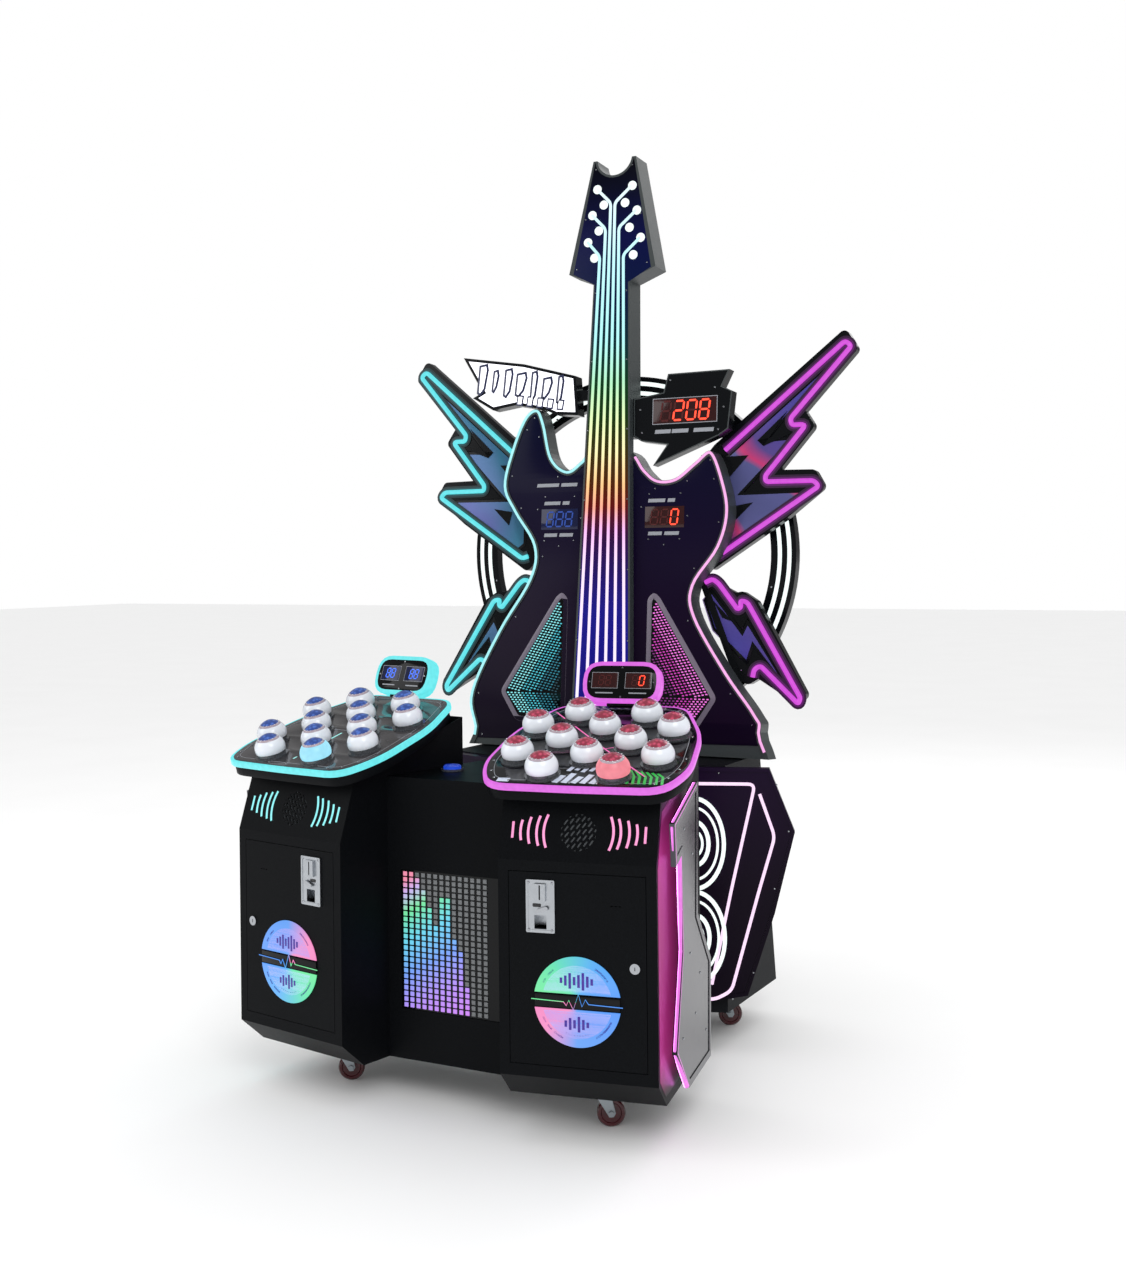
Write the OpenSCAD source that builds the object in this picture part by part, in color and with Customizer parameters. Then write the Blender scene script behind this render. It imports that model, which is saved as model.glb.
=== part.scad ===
// Two-player rhythm machine: two button consoles joined by a middle cabinet, and a lit guitar
// standing on a base cabinet behind them.
// X to the right, Y towards the back, Z up. The origin is on the floor under the middle of the machine.

/* [Consoles] */
// Half the gap between the two consoles' front corners
gap_half = 207.8; // [190:0.1:230]
// Place of the console front faces, from the origin towards the back
con_y = -554; // [-640:1:-500]
// Angle by which each console faces outwards
con_toe = 10.7; // [6:0.1:14]
// Width of a console
con_w = 362; // [340:1:440]
// Depth of a console
con_depth = 430; // [400:1:520]
// Height of the cabinet floors above the ground
floor_z = 95; // [80:1:120]
// Height of the fold above the sloping kick plate
kick_z = 157; // [140:1:175]
// Depth of the sloping kick plate
kick_depth = 70; // [40:1:90]
// Height of the fold between the front face and the speaker panel
crease_z = 633; // [620:1:700]
// Lean of the speaker panel from upright
panel_lean = 18.7; // [10:0.1:22]
// Thickness of the folded steel sheet
sheet = 2.5; // [1.5:0.1:4]

/* [Service doors] */
// Width of a door
door_w = 312; // [260:1:320]
// Height of a door's lower edge
door_z = 185; // [180:1:200]
// Height of a door
door_h = 423; // [350:1:426]
// Gap between a door and its opening
door_gap = 1.5; // [1.5:0.1:3]
// Depth of the door's folded edge
door_fold = 18; // [12:1:25]
// Radius of the hinge pins
hinge_r = 3; // [2.5:0.1:3.2]
// Distance of the hinge axis from the door's edge
hinge_in = 8; // [8:0.5:10]

/* [Coin units and locks] */
// Width of a coin plate
coin_w = 66; // [60:1:75]
// Height of a coin plate
coin_h = 116; // [100:1:130]
// Distance of the coin plate's centre from the door's middle, on the hinge side
coin_x = 82; // [75:1:95]
// Height of the coin plate's centre
coin_z = 534; // [510:1:540]
// Thickness of a coin plate
coin_t = 4; // [3:0.5:5]
// Depth of the coin mechanism behind the door
mech_depth = 72; // [60:1:100]
// Distance of the lock from the door's free edge
lock_in = 25; // [20:1:34]
// Height of the lock
lock_z = 410; // [330:1:460]
// Radius of the lock's barrel
lock_r = 9; // [7:0.5:10]

/* [Playfield decks] */
// Rise of the deck from front to back
deck_tilt = 16.2; // [8:0.1:20]
// Place of the deck's front edge, from the console's front face
deck_y = -27; // [-60:1:-10]
// Height of the deck's front edge
deck_z = 804; // [800:1:860]
// Length of the deck along its slope
deck_len = 474; // [460:1:520]
// Half width of the deck where it is widest
deck_half = 241; // [230:1:270]
// Thickness of the lit top layer
deck_top = 17; // [12:1:24]
// Thickness of the plate that the buttons are fixed to
deck_plate = 8; // [5:0.5:10]
// Depth of the skirt below the lit layer
deck_skirt = 25; // [15:1:35]
// Amount by which the skirt stands back from the lit layer
skirt_in = 8; // [4:1:14]

/* [Dome buttons] */
// Radius of a dome
dome_r = 38; // [32:0.5:39]
// Height of a dome's crown above the deck
dome_h = 58; // [46:1:64]
// Spacing of the domes in a row
dome_pitch = 164; // [150:1:170]
// Spacing of the rows
row_pitch = 80; // [76:1:84]
// Distance of the first row from the deck's front edge
row_start = 52; // [46:1:60]
// Travel of a dome
dome_travel = 5; // [3:0.5:6]
// Radius of the threaded housing below a dome
housing_r = 31.5; // [26:0.5:34]
// Length of the housing below the deck's surface
housing_l = 30; // [29:0.5:31]
// Radius of the sliding stem under a dome
stem_r = 9; // [7:0.5:11]
// Length of the stem below the deck's surface
stem_l = 22; // [18:0.5:22]
// Height of the switch under a housing
switch_h = 10; // [6:0.5:10]
// Running clearance of the stem in its guide
run_gap = 0.08; // [0.05:0.01:0.1]

/* [Display pods] */
// Width of a display pod
pod_w = 196; // [170:1:220]
// Height of a display pod
pod_h = 104; // [90:1:120]
// Thickness of a display pod
pod_t = 34; // [26:1:44]
// Lean of a pod from upright
pod_lean = 20; // [10:1:30]
// Distance of the pod's foot from the deck's front edge
pod_v = 414; // [412:1:425]

/* [Side light panels] */
// Distance between a console's wall and its light panel
side_gap = 17; // [10:1:25]
// Thickness of a side light panel
side_t = 12; // [8:1:20]
// Radius of the posts that carry a side light panel
post_r = 7; // [5:0.5:10]

/* [Middle cabinet] */
// Place of the middle cabinet's front face
mid_y = -434; // [-470:1:-420]
// Depth of the middle cabinet
mid_depth = 330; // [300:1:360]
// Height of the middle cabinet's top
mid_z = 773; // [700:1:800]
// Half width of the pixel matrix
matrix_half = 148; // [120:1:155]
// Height of the matrix's lower edge
matrix_z = 216; // [190:1:260]
// Height of the matrix
matrix_h = 335; // [300:1:380]
// Thickness of the matrix panel
matrix_t = 10; // [6:1:16]
// Distance of each start button from the middle
start_x = 92; // [70:1:100]
// Distance of the start buttons from the middle cabinet's front
start_y = 150; // [110:1:200]
// Radius of a start button
start_r = 22; // [16:0.5:26]
// Travel of a start button
start_travel = 4; // [2:0.5:5]

/* [Base cabinet] */
// Half width of the base cabinet
base_half = 418; // [400:1:470]
// Place of the base cabinet's rear face at the floor
base_back = 616; // [600:1:680]
// Height of the base cabinet
base_top = 745; // [730:1:760]
// Lean of the base cabinet's rear face
base_lean = 9.5; // [0:0.5:10]
// Width of the link beam between the cabinets
beam_w = 200; // [140:1:220]
// Height of the link beam
beam_h = 60; // [40:1:80]

/* [Speaker light panels] */
// Angle by which the speaker panels face outwards
spk_toe = 20; // [12:1:24]
// Place of a speaker panel where it is spk_x from the middle
spk_y = 176; // [160:1:200]
// Distance from the middle at which that place is taken
spk_x = 300; // [280:1:320]
// Thickness of a speaker panel
spk_t = 30; // [20:1:40]
// Height of a speaker panel's upper edge
spk_top = 742; // [720:1:744]

/* [Guitar] */
// Lean of the guitar from upright
gtr_lean = 4.7; // [2:0.1:6]
// Place of the guitar's face at the height gtr_z
gtr_y = 385; // [370:1:400]
// Height at which the guitar's place is taken
gtr_z = 944; // [930:1:960]
// Thickness of the guitar's body
body_t = 58; // [45:1:62]
// Amount by which the neck stands out of the body's face
neck_out = 22; // [10:1:30]
// Thickness of the neck above the body
neck_t = 74; // [60:1:90]
// Half width of the neck at the headstock
neck_top_half = 57; // [50:1:60]
// Half width of the neck at its foot
neck_foot_half = 93; // [85:1:98]
// Height of the neck's foot
neck_foot = 840; // [820:1:870]
// Height of the machine, at the tips of the headstock
top_z = 2450; // [2400:1:2500]

/* [Wings, ring and boards] */
// Thickness of the wing panels
wing_t = 26; // [18:1:35]
// Rounding of the wing panels' tips
wing_round = 16; // [10:1:18]
// Outer radius of the halo ring
ring_r = 516; // [500:1:530]
// Width of the halo ring
ring_w = 74; // [60:1:80]
// Thickness of the halo ring
ring_t = 30; // [20:1:40]
// Height of the halo ring's centre
ring_z = 1306; // [1290:1:1320]
// Place of the halo ring's front face
ring_y = 548; // [540:1:560]
// Thickness of the score board
score_t = 34; // [24:1:44]
// Thickness of the title board
title_t = 40; // [30:1:50]

/* [Casters] */
// Radius of a caster wheel
wheel_r = 32.5; // [30:0.5:34]
// Width of a caster wheel
wheel_w = 24; // [20:1:28]
// Radius of a wheel's axle
axle_r = 4; // [3:0.5:5]
// Distance from the swivel axis to the wheel's axle
trail = 26; // [18:1:32]
// Radius of the swivel's stem
swivel_r = 6; // [5:0.5:8]
// Distance of the front casters from their console's front face
front_caster_y = 167; // [150:1:200]
// Distance of the rear casters from the middle
rear_caster_x = 320; // [280:1:350]
// Place of the rear casters
rear_caster_y = 440; // [420:1:500]
// Direction in which the casters trail when the machine has been pushed into place
caster_turn = -62; // [-180:1:180]

/* [Hidden] */
$fn = 64;
eps = 0.01;
seat = 0.3;
cut = 5;
dome_rows = [2, 3, 2, 3, 2];
DOMES = [for (r = [0 : 4]) for (i = [0 : dome_rows[r] - 1])
    [(i - (dome_rows[r] - 1) / 2) * dome_pitch, row_start + r * row_pitch]];
side_names = ["left", "right"];

// The deck's underside, as a line through the console's side view
deck_thick = deck_top + deck_skirt;
deck_slope = tan(deck_tilt);
under_z0 = deck_z - deck_y * deck_slope - (deck_thick + seat) / cos(deck_tilt);
function under_z(y) = under_z0 + y * deck_slope;
panel_top_z = (under_z0 - deck_slope * tan(panel_lean) * crease_z) / (1 - deck_slope * tan(panel_lean));
panel_top_y = (panel_top_z - crease_z) * tan(panel_lean);
con_x = gap_half + con_w / 2 / cos(con_toe);
hinge_x = -door_w / 2 + hinge_in;
lock_x = door_w / 2 - lock_in;
neck_top_z = top_z - 360;
head_low_z = neck_top_z + 32;
neck_free_z = 1640;
hinge_y = 4;
stub_l = 7;
wheel_gap = 0.05;

// A right-hand or left-hand console's own frame: x outwards, y to the back
module console_frame(side) {
    mirror([side < 0 ? 1 : 0, 0, 0]) translate([con_x, con_y, 0]) rotate([0, 0, con_toe]) children();
}
module deck_frame(side) {
    console_frame(side) translate([0, deck_y, deck_z]) rotate([deck_tilt, 0, 0]) children();
}
module coin_frame(side) {
    console_frame(side) translate([-coin_x, 0, coin_z]) children();
}
module lean_frame() {
    translate([0, gtr_y, gtr_z]) rotate([-gtr_lean, 0, 0]) children();
}
// An upright plate from an outline in x and height, its front face at y0
module upright(y0, t) {
    translate([0, y0 + t, 0]) rotate([90, 0, 0]) linear_extrude(t) children();
}
module sideways(x0, t) {
    translate([x0, 0, 0]) rotate([90, 0, 90]) linear_extrude(t) children();
}
module both() {
    children();
    mirror([1, 0, 0]) children();
}
module rounded(r) {
    offset(r = r) offset(delta = -r) children();
}

module console_side_view(t) {
    top = t > 0 ? 200 : 0;
    k = t / cos(panel_lean);
    polygon([[kick_depth + t, floor_z + t], [t, kick_z], [t, crease_z],
        [panel_top_y + k + top * tan(panel_lean), panel_top_z + top],
        [con_depth - t, under_z(con_depth) + top], [con_depth - t, floor_z + t]]);
}
module console_shell(side) {
    ear_w = 2 * hinge_in;
    ear_d = hinge_y + 8;
    opening_w = door_w + 2 * door_gap;
    color("#15171a") console_frame(side) difference() {
        union() {
            difference() {
                sideways(-con_w / 2, con_w) console_side_view(0);
                sideways(-con_w / 2 + sheet, con_w - 2 * sheet) console_side_view(sheet);
                translate([-opening_w / 2, -cut, door_z - door_gap])
                    cube([opening_w, 2 * cut + sheet, door_h + 2 * door_gap]);
                speaker_slots();
            }
            for (z = [door_z - door_gap - stub_l - 1, door_z + door_h + door_gap])
                translate([hinge_x - ear_w / 2, sheet - eps, z]) cube([ear_w, ear_d - sheet, stub_l + 1]);
            translate([opening_w / 2, sheet - eps, lock_z - 30]) cube([sheet, door_fold - sheet, 60]);
        }
        translate([hinge_x, hinge_y, door_z - door_gap - stub_l - 1 - eps])
            cylinder(r = hinge_r + run_gap, h = door_h + 2 * (door_gap + stub_l + 1) + 2 * eps);
        swivel_hole(0, front_caster_y);
    }
}
// Slanted sound slots of the speaker panel, between the two groups of lit bars
module speaker_slots() {
    r = 41;
    translate([0, 0, crease_z]) rotate([-panel_lean, 0, 0])
        translate([0, sheet + cut, 66]) rotate([90, 0, 0]) linear_extrude(sheet + 3 * cut)
            intersection() {
                circle(r);
                rotate(-35) for (i = [-4 : 4]) for (j = [-3 : 3])
                    translate([i * 9.4, j * 20 + (i % 2 == 0 ? 0 : 10)]) square([4.6, 14], center = true);
            }
}
module swivel_hole(x, y) {
    translate([x, y, floor_z - cut]) cylinder(r = swivel_r + 2, h = sheet + 2 * cut);
}

module deck_outline() {
    rounded(58) polygon([[-204, 0], [0, -4], [204, 0], [deck_half + 3, 110], [deck_half - 12, 300],
        [158, deck_len], [-158, deck_len], [12 - deck_half, 300], [-deck_half - 3, 110]]);
}
module deck(side) {
    wall = 4;
    color("#1b1c22") deck_frame(side) difference() {
        union() {
            translate([0, 0, -deck_top]) linear_extrude(deck_top) deck_outline();
            translate([0, 0, -deck_thick]) linear_extrude(deck_skirt + eps) offset(delta = -skirt_in) deck_outline();
        }
        translate([0, 0, -deck_thick - eps]) linear_extrude(deck_thick - deck_plate)
            offset(delta = -skirt_in - wall) deck_outline();
        for (d = DOMES) translate([d[0], d[1], -cut - deck_top])
            cylinder(r = housing_r + 0.4, h = deck_top + 2 * cut);
    }
}

// Dome: a white shell with a crown, on a stem that slides in its housing
collar_r = dome_r - 3;
flange_t = 3;
rim_z = 12;
belly_z = 22;
function dome_skin(a, r, rise) =
    [r * pow(cos(a), 0.75), belly_z + (a < 0 ? (belly_z - rim_z) * sin(a) / sin(20) : rise * sin(a))];
module dome(side, n) {
    wall = 2.4;
    rise = dome_h - belly_z;
    inside = [for (a = [60 : -10 : 0]) dome_skin(a, dome_r - wall, rise - wall)];
    outside = [for (a = [-20 : 5 : 90]) dome_skin(a, dome_r, rise)];
    color(side < 0 ? "#d9eef2" : "#f1dde2") deck_frame(side) translate([DOMES[n][0], DOMES[n][1], 0]) {
        rotate_extrude() polygon(concat([[stem_r, inside[0][1]]], inside, [[dome_r - wall, rim_z]],
            [for (p = outside) [max(p[0], 0), p[1]]], [[0, -stem_l], [stem_r, -stem_l]]));
    }
}
module button_housing() {
    difference() {
        union() {
            translate([0, 0, seat / 10]) cylinder(r = dome_r + 3, h = flange_t);
            cylinder(r = collar_r, h = rim_z - 1);
            translate([0, 0, -housing_l]) cylinder(r = housing_r, h = housing_l + 1);
            translate([0, 0, -deck_plate - 6]) cylinder(r = housing_r + 7, h = 6, $fn = 6);
            translate([-10, -15, -housing_l - switch_h]) cube([20, 30, switch_h + eps]);
        }
        translate([0, 0, -stem_l - dome_travel - 1]) cylinder(r = stem_r + run_gap, h = 80);
    }
}
module start_housing() {
    difference() {
        union() {
            cylinder(r = start_r + 6, h = 5);
            translate([0, 0, -40]) cylinder(r = start_r + 1.5, h = 41);
            translate([0, 0, -sheet - 6]) cylinder(r = start_r + 8, h = 6, $fn = 6);
        }
        translate([0, 0, -5 - start_travel]) cylinder(r = start_r + run_gap, h = 60);
        translate([0, 0, -30]) cylinder(r = stem_r + run_gap, h = 60);
    }
}
module start_frame(side) {
    translate([side * start_x, mid_y + start_y, mid_z]) children();
}
module button_housings() {
    color("#8f9499") {
        for (s = [-1, 1]) deck_frame(s) for (d = DOMES) translate([d[0], d[1], 0]) button_housing();
        for (s = [-1, 1]) start_frame(s) start_housing();
    }
}
module start_button(side) {
    color(side < 0 ? "#2c6bff" : "#ff3030") start_frame(side) rotate_extrude()
        polygon([[0, -24], [stem_r, -24], [stem_r, -5], [start_r, -5], [start_r, 11], [start_r - 3, 14], [0, 15]]);
}

module door(side) {
    color("#111316") console_frame(side) {
        difference() {
            union() {
                difference() {
                    translate([-door_w / 2, 0, door_z]) cube([door_w, door_fold, door_h]);
                    translate([sheet - door_w / 2, sheet, door_z + sheet])
                        cube([door_w - 2 * sheet, door_fold, door_h - 2 * sheet]);
                }
                for (z = [door_z - door_gap - stub_l, door_z + door_h - 6])
                    translate([hinge_x, hinge_y, z]) cylinder(r = hinge_r, h = stub_l + door_gap + 6);
            }
            translate([-coin_x - mech_w / 2 - 0.5, -cut, coin_z - mech_h / 2 - 0.5])
                cube([mech_w + 1, 2 * cut + sheet, mech_h + 1]);
            translate([lock_x, -cut, lock_z]) rotate([-90, 0, 0]) cylinder(r = lock_r + run_gap, h = 3 * cut);
            slot_row();
        }
    }
}
// Three small dark slots beside the coin plate
module slot_row() {
    for (i = [-1 : 1]) translate([86 + i * 9, -cut, 541]) cube([6, 3 * cut, 2]);
}
mech_w = 50;
mech_h = 96;
module coin_unit(side) {
    lever_r = 3;
    color("#b9bdc2") coin_frame(side) difference() {
        union() {
            difference() {
                upright(-coin_t, coin_t) rounded(3) square([coin_w, coin_h], center = true);
                translate([-coin_w / 2 + 5, -coin_t - 1, -coin_h / 2 + 6]) cube([coin_w - 10, 2, coin_h - 12]);
            }
            translate([-mech_w / 2, -eps - 1, -mech_h / 2]) cube([mech_w, mech_depth, mech_h]);
            translate([-13, -coin_t - 5, 12]) cube([26, 6, 38]);
        }
        translate([-1.6, -coin_t - 12, 15]) cube([3.2, mech_depth - 10, 32]);
        translate([-14, -coin_t - 3, -50]) cube([28, 34, 30]);
        translate([14, -coin_t - 12, -4]) rotate([-90, 0, 0]) cylinder(r = lever_r + wheel_gap, h = 30);
    }
}
module return_lever(side) {
    color("#8a9096") coin_frame(side) translate([14, 0, -4]) {
        translate([0, -coin_t + 1 - 2.7, 0]) rotate([-90, 0, 0]) cylinder(r = 3, h = 16);
        upright(-coin_t - 5.5, 3.8) hull() {
            circle(5);
            translate([-19, -5]) circle(3.5);
        }
    }
}
module door_lock(side) {
    cam_l = 34;
    color("#c3c6c9") console_frame(side) translate([lock_x, 0, lock_z]) {
        difference() {
            union() {
                translate([0, -3, 0]) rotate([-90, 0, 0]) cylinder(r = lock_r + 2.5, h = 3 - seat / 10);
                translate([0, -3, 0]) rotate([-90, 0, 0]) cylinder(r = lock_r, h = door_fold + 6);
                translate([-7, door_fold + 1, -cam_l]) cube([14, 2.5, cam_l + 7]);
            }
            translate([-1, -cut, -4]) cube([2, cut + 4, 8]);
        }
    }
}

module pod_frame(side) {
    deck_frame(side) translate([0, pod_v, 0]) rotate([-deck_tilt - pod_lean, 0, 0]) children();
}
module display_pods() {
    foot_w = 70;
    lift_h = pod_t * tan(deck_tilt + pod_lean) + 3;
    color("#c65fd0") for (s = [-1, 1]) {
        pod_frame(s) translate([0, 0, pod_h / 2 + lift_h]) upright(0, pod_t)
            rounded(34) square([pod_w, pod_h], center = true);
        deck_frame(s) translate([-foot_w / 2, pod_v + 18, seat / 10]) cube([foot_w, 24, 24]);
    }
}

// Outline of a side light panel, depth behind the console's face against height
side_outline = [[280, 776], [49, 718], [60, 622], [112, 636], [120, 423], [52, 216], [168, 106],
    [402, 106], [414, 337], [275, 474], [290, 776]];
module side_panels() {
    color("#7b7c80") for (s = [-1, 1]) console_frame(s) {
        difference() {
            sideways(con_w / 2 + side_gap, side_t) polygon(side_outline);
            sideways(con_w / 2 + side_gap + side_t - 2, 3) offset(delta = -16) polygon(side_outline);
        }
        for (p = [[170, 715], [240, 560], [190, 280], [340, 190]])
            translate([con_w / 2 + seat / 10, p[0], p[1]]) rotate([0, 90, 0]) cylinder(r = post_r, h = side_gap);
    }
}

// Half width of the middle cabinet, between the consoles' inner walls
function mid_half(y) = con_x - (con_w / 2) / cos(con_toe) - (y - con_y) * tan(con_toe) - seat;
module middle_cabinet() {
    back = mid_y + mid_depth;
    module plan(t) polygon([[-mid_half(mid_y) + t, mid_y + t], [mid_half(mid_y) - t, mid_y + t],
        [mid_half(back) - t, back - t], [-mid_half(back) + t, back - t]]);
    color("#0f1216") difference() {
        translate([0, 0, floor_z]) linear_extrude(mid_z - floor_z) plan(0);
        translate([0, 0, floor_z + sheet]) linear_extrude(mid_z - floor_z - 2 * sheet) plan(sheet);
        translate([-matrix_half, mid_y - cut, matrix_z]) cube([2 * matrix_half, 2 * cut, matrix_h]);
        for (s = [-1, 1]) start_frame(s) translate([0, 0, -cut - sheet])
            cylinder(r = start_r + 2, h = 2 * cut + sheet);
    }
}
// The matrix panel hangs behind its opening and overlaps it all round
module matrix_panel() {
    lap = 10;
    color("#9fb0c0") translate([-matrix_half - lap, mid_y + sheet + seat / 10, matrix_z - lap])
        cube([2 * (matrix_half + lap), matrix_t, matrix_h + 2 * lap]);
}

// Distance to the back of a speaker panel's front face, at a distance x from the middle
function spk_front(x) = spk_y + (x - spk_x) * tan(spk_toe);
spk_back = (spk_t + seat) / cos(spk_toe);
base_step = 213;
module base_cabinet() {
    module plan(t) polygon([[t - base_half, base_back - t], [base_half - t, base_back - t],
        [base_half - t, spk_front(base_half) + spk_back + t], [base_step, spk_front(base_step) + spk_back + t],
        [-base_step, spk_front(base_step) + spk_back + t], [t - base_half, spk_front(base_half) + spk_back + t]]);
    module block(t) difference() {
        translate([0, 0, floor_z + t]) linear_extrude(base_top - floor_z - 2 * t) plan(t);
        translate([-base_half - cut, base_back - t, floor_z]) rotate([base_lean, 0, 0])
            translate([0, 0, -50]) cube([2 * base_half + 2 * cut, 300, 900]);
    }
    color("#17191b") difference() {
        block(0);
        block(sheet);
        for (s = [-1, 1]) swivel_hole(s * rear_caster_x, rear_caster_y);
        translate([120, base_back - 40, floor_z + 60]) cube([48, 60, 30]);
    }
}
// Steel channel that ties the cabinets together, and the casters' top plates with their stems
module link_frame() {
    plate_t = 3;
    front = mid_y + mid_depth + seat;
    back = spk_front(base_step) + spk_back - seat;
    color("#2a2c2f") {
        difference() {
            translate([-beam_w / 2, front, floor_z]) cube([beam_w, back - front, beam_h]);
            translate([sheet - beam_w / 2, front - 1, floor_z + sheet])
                cube([beam_w - 2 * sheet, back - front + 2, beam_h - 2 * sheet]);
        }
        each_caster() {
            translate([-30, -30, -plate_t]) cube([60, 60, plate_t]);
            translate([0, 0, -16]) cylinder(r = swivel_r, h = 16);
            translate([0, 0, -eps]) cylinder(r = swivel_r + 1, h = sheet + 4);
        }
    }
}

// Casters: the frame of each is its swivel axis at the cabinet floor, trailing along its own y
front_caster = [con_x - front_caster_y * sin(con_toe), con_y + front_caster_y * cos(con_toe)];
module caster_frame(n) {
    side = n % 2 == 0 ? -1 : 1;
    place = n < 2 ? front_caster : [rear_caster_x, rear_caster_y];
    translate([side * place[0], place[1], floor_z]) rotate([0, 0, caster_turn]) children();
}
module each_caster() {
    for (n = [0 : 3]) caster_frame(n) children();
}
module caster_fork(n) {
    leg = wheel_w / 2 + 1.5;
    drop = floor_z - wheel_r;
    color("#a9aeb3") caster_frame(n) difference() {
        union() {
            translate([0, 0, -15]) cylinder(r = 24, h = 11);
            for (s = [-1, 1]) translate([s * (leg + 1.25) - 1.25, 0, 0]) rotate([90, 0, 90]) linear_extrude(2.5)
                polygon([[-20, -5], [22, -5], [trail + 10, -drop], [trail + 5, -drop - 8], [trail - 5, -drop - 8],
                    [trail - 12, -drop + 4]]);
            translate([-leg - 2.5, -18, -15]) cube([2 * leg + 5, 38, 4]);
            translate([-leg - 3, trail, -drop]) rotate([0, 90, 0]) cylinder(r = axle_r, h = 2 * leg + 6);
            for (s = [-1, 1]) translate([s * (leg + 4.5) - 2.5, trail, -drop]) rotate([0, 90, 0])
                cylinder(r = 7, h = 5, $fn = 6);
        }
        translate([0, 0, -20]) cylinder(r = swivel_r + wheel_gap, h = 30);
    }
}
module caster_wheel(n) {
    color("#6a1622") caster_frame(n) translate([0, trail, wheel_r - floor_z]) rotate([0, 90, 0]) difference() {
        rotate_extrude() polygon([[0, -wheel_w / 2], [14, -wheel_w / 2], [14, 3 - wheel_w / 2], [22, 3 - wheel_w / 2],
            [24, -wheel_w / 2 + 1], [wheel_r - 3, -wheel_w / 2 + 1], [wheel_r, -wheel_w / 2 + 5],
            [wheel_r, wheel_w / 2 - 5], [wheel_r - 3, wheel_w / 2 - 1], [24, wheel_w / 2 - 1],
            [22, wheel_w / 2 - 3], [14, wheel_w / 2 - 3], [14, wheel_w / 2], [0, wheel_w / 2]]);
        translate([0, 0, -wheel_w]) cylinder(r = axle_r + wheel_gap, h = 2 * wheel_w);
    }
}

// Inside: a loudspeaker and a cash box in each console, a power supply and a control board
module inner_units() {
    cone = 40;
    color("#4d5258") {
        for (s = [-1, 1]) console_frame(s) {
            translate([0, 0, crease_z]) rotate([-panel_lean, 0, 0]) translate([0, sheet + 0.1, 66])
                rotate([-90, 0, 0]) rotate_extrude()
                    polygon([[0, 12], [18, 12], [cone, 2], [cone, 0], [46, 0], [46, 4], [22, 26], [22, 40], [0, 40]]);
            difference() {
                translate([-140, 130, floor_z + sheet + seat]) cube([130, 150, 110]);
                translate([-136, 134, floor_z + sheet + 4]) cube([122, 142, 120]);
            }
        }
        translate([-70, mid_y + 180, floor_z + sheet + seat]) cube([120, 60, 115]);
        translate([-90, mid_y + mid_depth - sheet - 14, 380]) cube([180, 14 - seat, 150]);
        translate([120.5, base_back - 34, floor_z + 60.5]) cube([47, 30, 29]);
    }
}

// Outline of a speaker light panel: distance along the panel against height
spk_outline = [[-110, spk_top], [252, spk_top], [316, 578], [262, 366], [190, 150], [30, 118], [-110, 118]];
module speaker_panels() {
    color("#150a22") both() translate([spk_x, spk_y, 0]) rotate([0, 0, spk_toe]) difference() {
        upright(0, spk_t) polygon(spk_outline);
        upright(-1, 3) offset(delta = -9) polygon(spk_outline);
    }
}

// A smooth closed curve through a ring of points
function spline(p, steps) = [for (i = [0 : len(p) - 1]) for (k = [0 : steps - 1])
    let (n = len(p), t = k / steps, a = p[(i + n - 1) % n], b = p[i], c = p[(i + 1) % n], d = p[(i + 2) % n])
    0.5 * (2 * b + (c - a) * t + (2 * a - 5 * b + 4 * c - d) * t * t + (3 * b - a - 3 * c + d) * t * t * t)];
function lift(pts) = [for (p = pts) [p[0], p[1] - gtr_z]];
body_points = [[-380, base_top - 80], [-425, 800], [-440, 905], [-352, 1085], [-255, 1235], [-243, 1330], [-310, 1430],
    [-350, 1510], [-325, 1620], [-285, 1712], [-243, 1735], [-218, 1690], [-190, 1590], [-139, 1550],
    [-95, 1575], [-60, 1600], [60, 1600], [110, 1545], [150, 1515], [205, 1518], [262, 1560], [310, 1590],
    [345, 1520], [366, 1420], [340, 1320], [268, 1215], [275, 1130], [370, 980], [455, 870], [470, 820],
    [425, base_top - 80]];
// The body is cut level at its foot, to stand on the base cabinet
body_foot = (base_top + seat - gtr_z + body_t * sin(gtr_lean)) / cos(gtr_lean);
face_in = 4;
module neck_strip() {
    foot = neck_foot - gtr_z;
    polygon([[-neck_foot_half, foot], [neck_foot_half, foot],
        [neck_top_half, neck_top_z - gtr_z], [-neck_top_half, neck_top_z - gtr_z]]);
}
module guitar_body() {
    color("#0a0f24") lean_frame() difference() {
        upright(0, body_t) intersection() {
            polygon(spline(lift(body_points), 6));
            translate([-700, body_foot]) square([1400, 1400]);
        }
        upright(-1, face_in + 1) offset(delta = -14) polygon(spline(lift(body_points), 6));
        upright(-1, face_in + 1) offset(delta = seat / 10) neck_strip();
    }
}
module guitar_neck() {
    notch_r = 56;
    h = top_z - gtr_z;
    color("#101226") lean_frame() difference() {
        union() {
            upright(-neck_out, neck_out + face_in) neck_strip();
            upright(-neck_out, neck_t) difference() {
                polygon([[-70, neck_free_z - gtr_z], [70, neck_free_z - gtr_z], [neck_top_half, neck_top_z - gtr_z],
                    [138, head_low_z - gtr_z], [68, h], [-68, h], [-138, head_low_z - gtr_z],
                    [-neck_top_half, neck_top_z - gtr_z]]);
                translate([0, h + 8]) circle(notch_r);
            }
        }
        upright(-neck_out - 1, 3) offset(delta = -8) neck_strip();
    }
}

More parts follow.
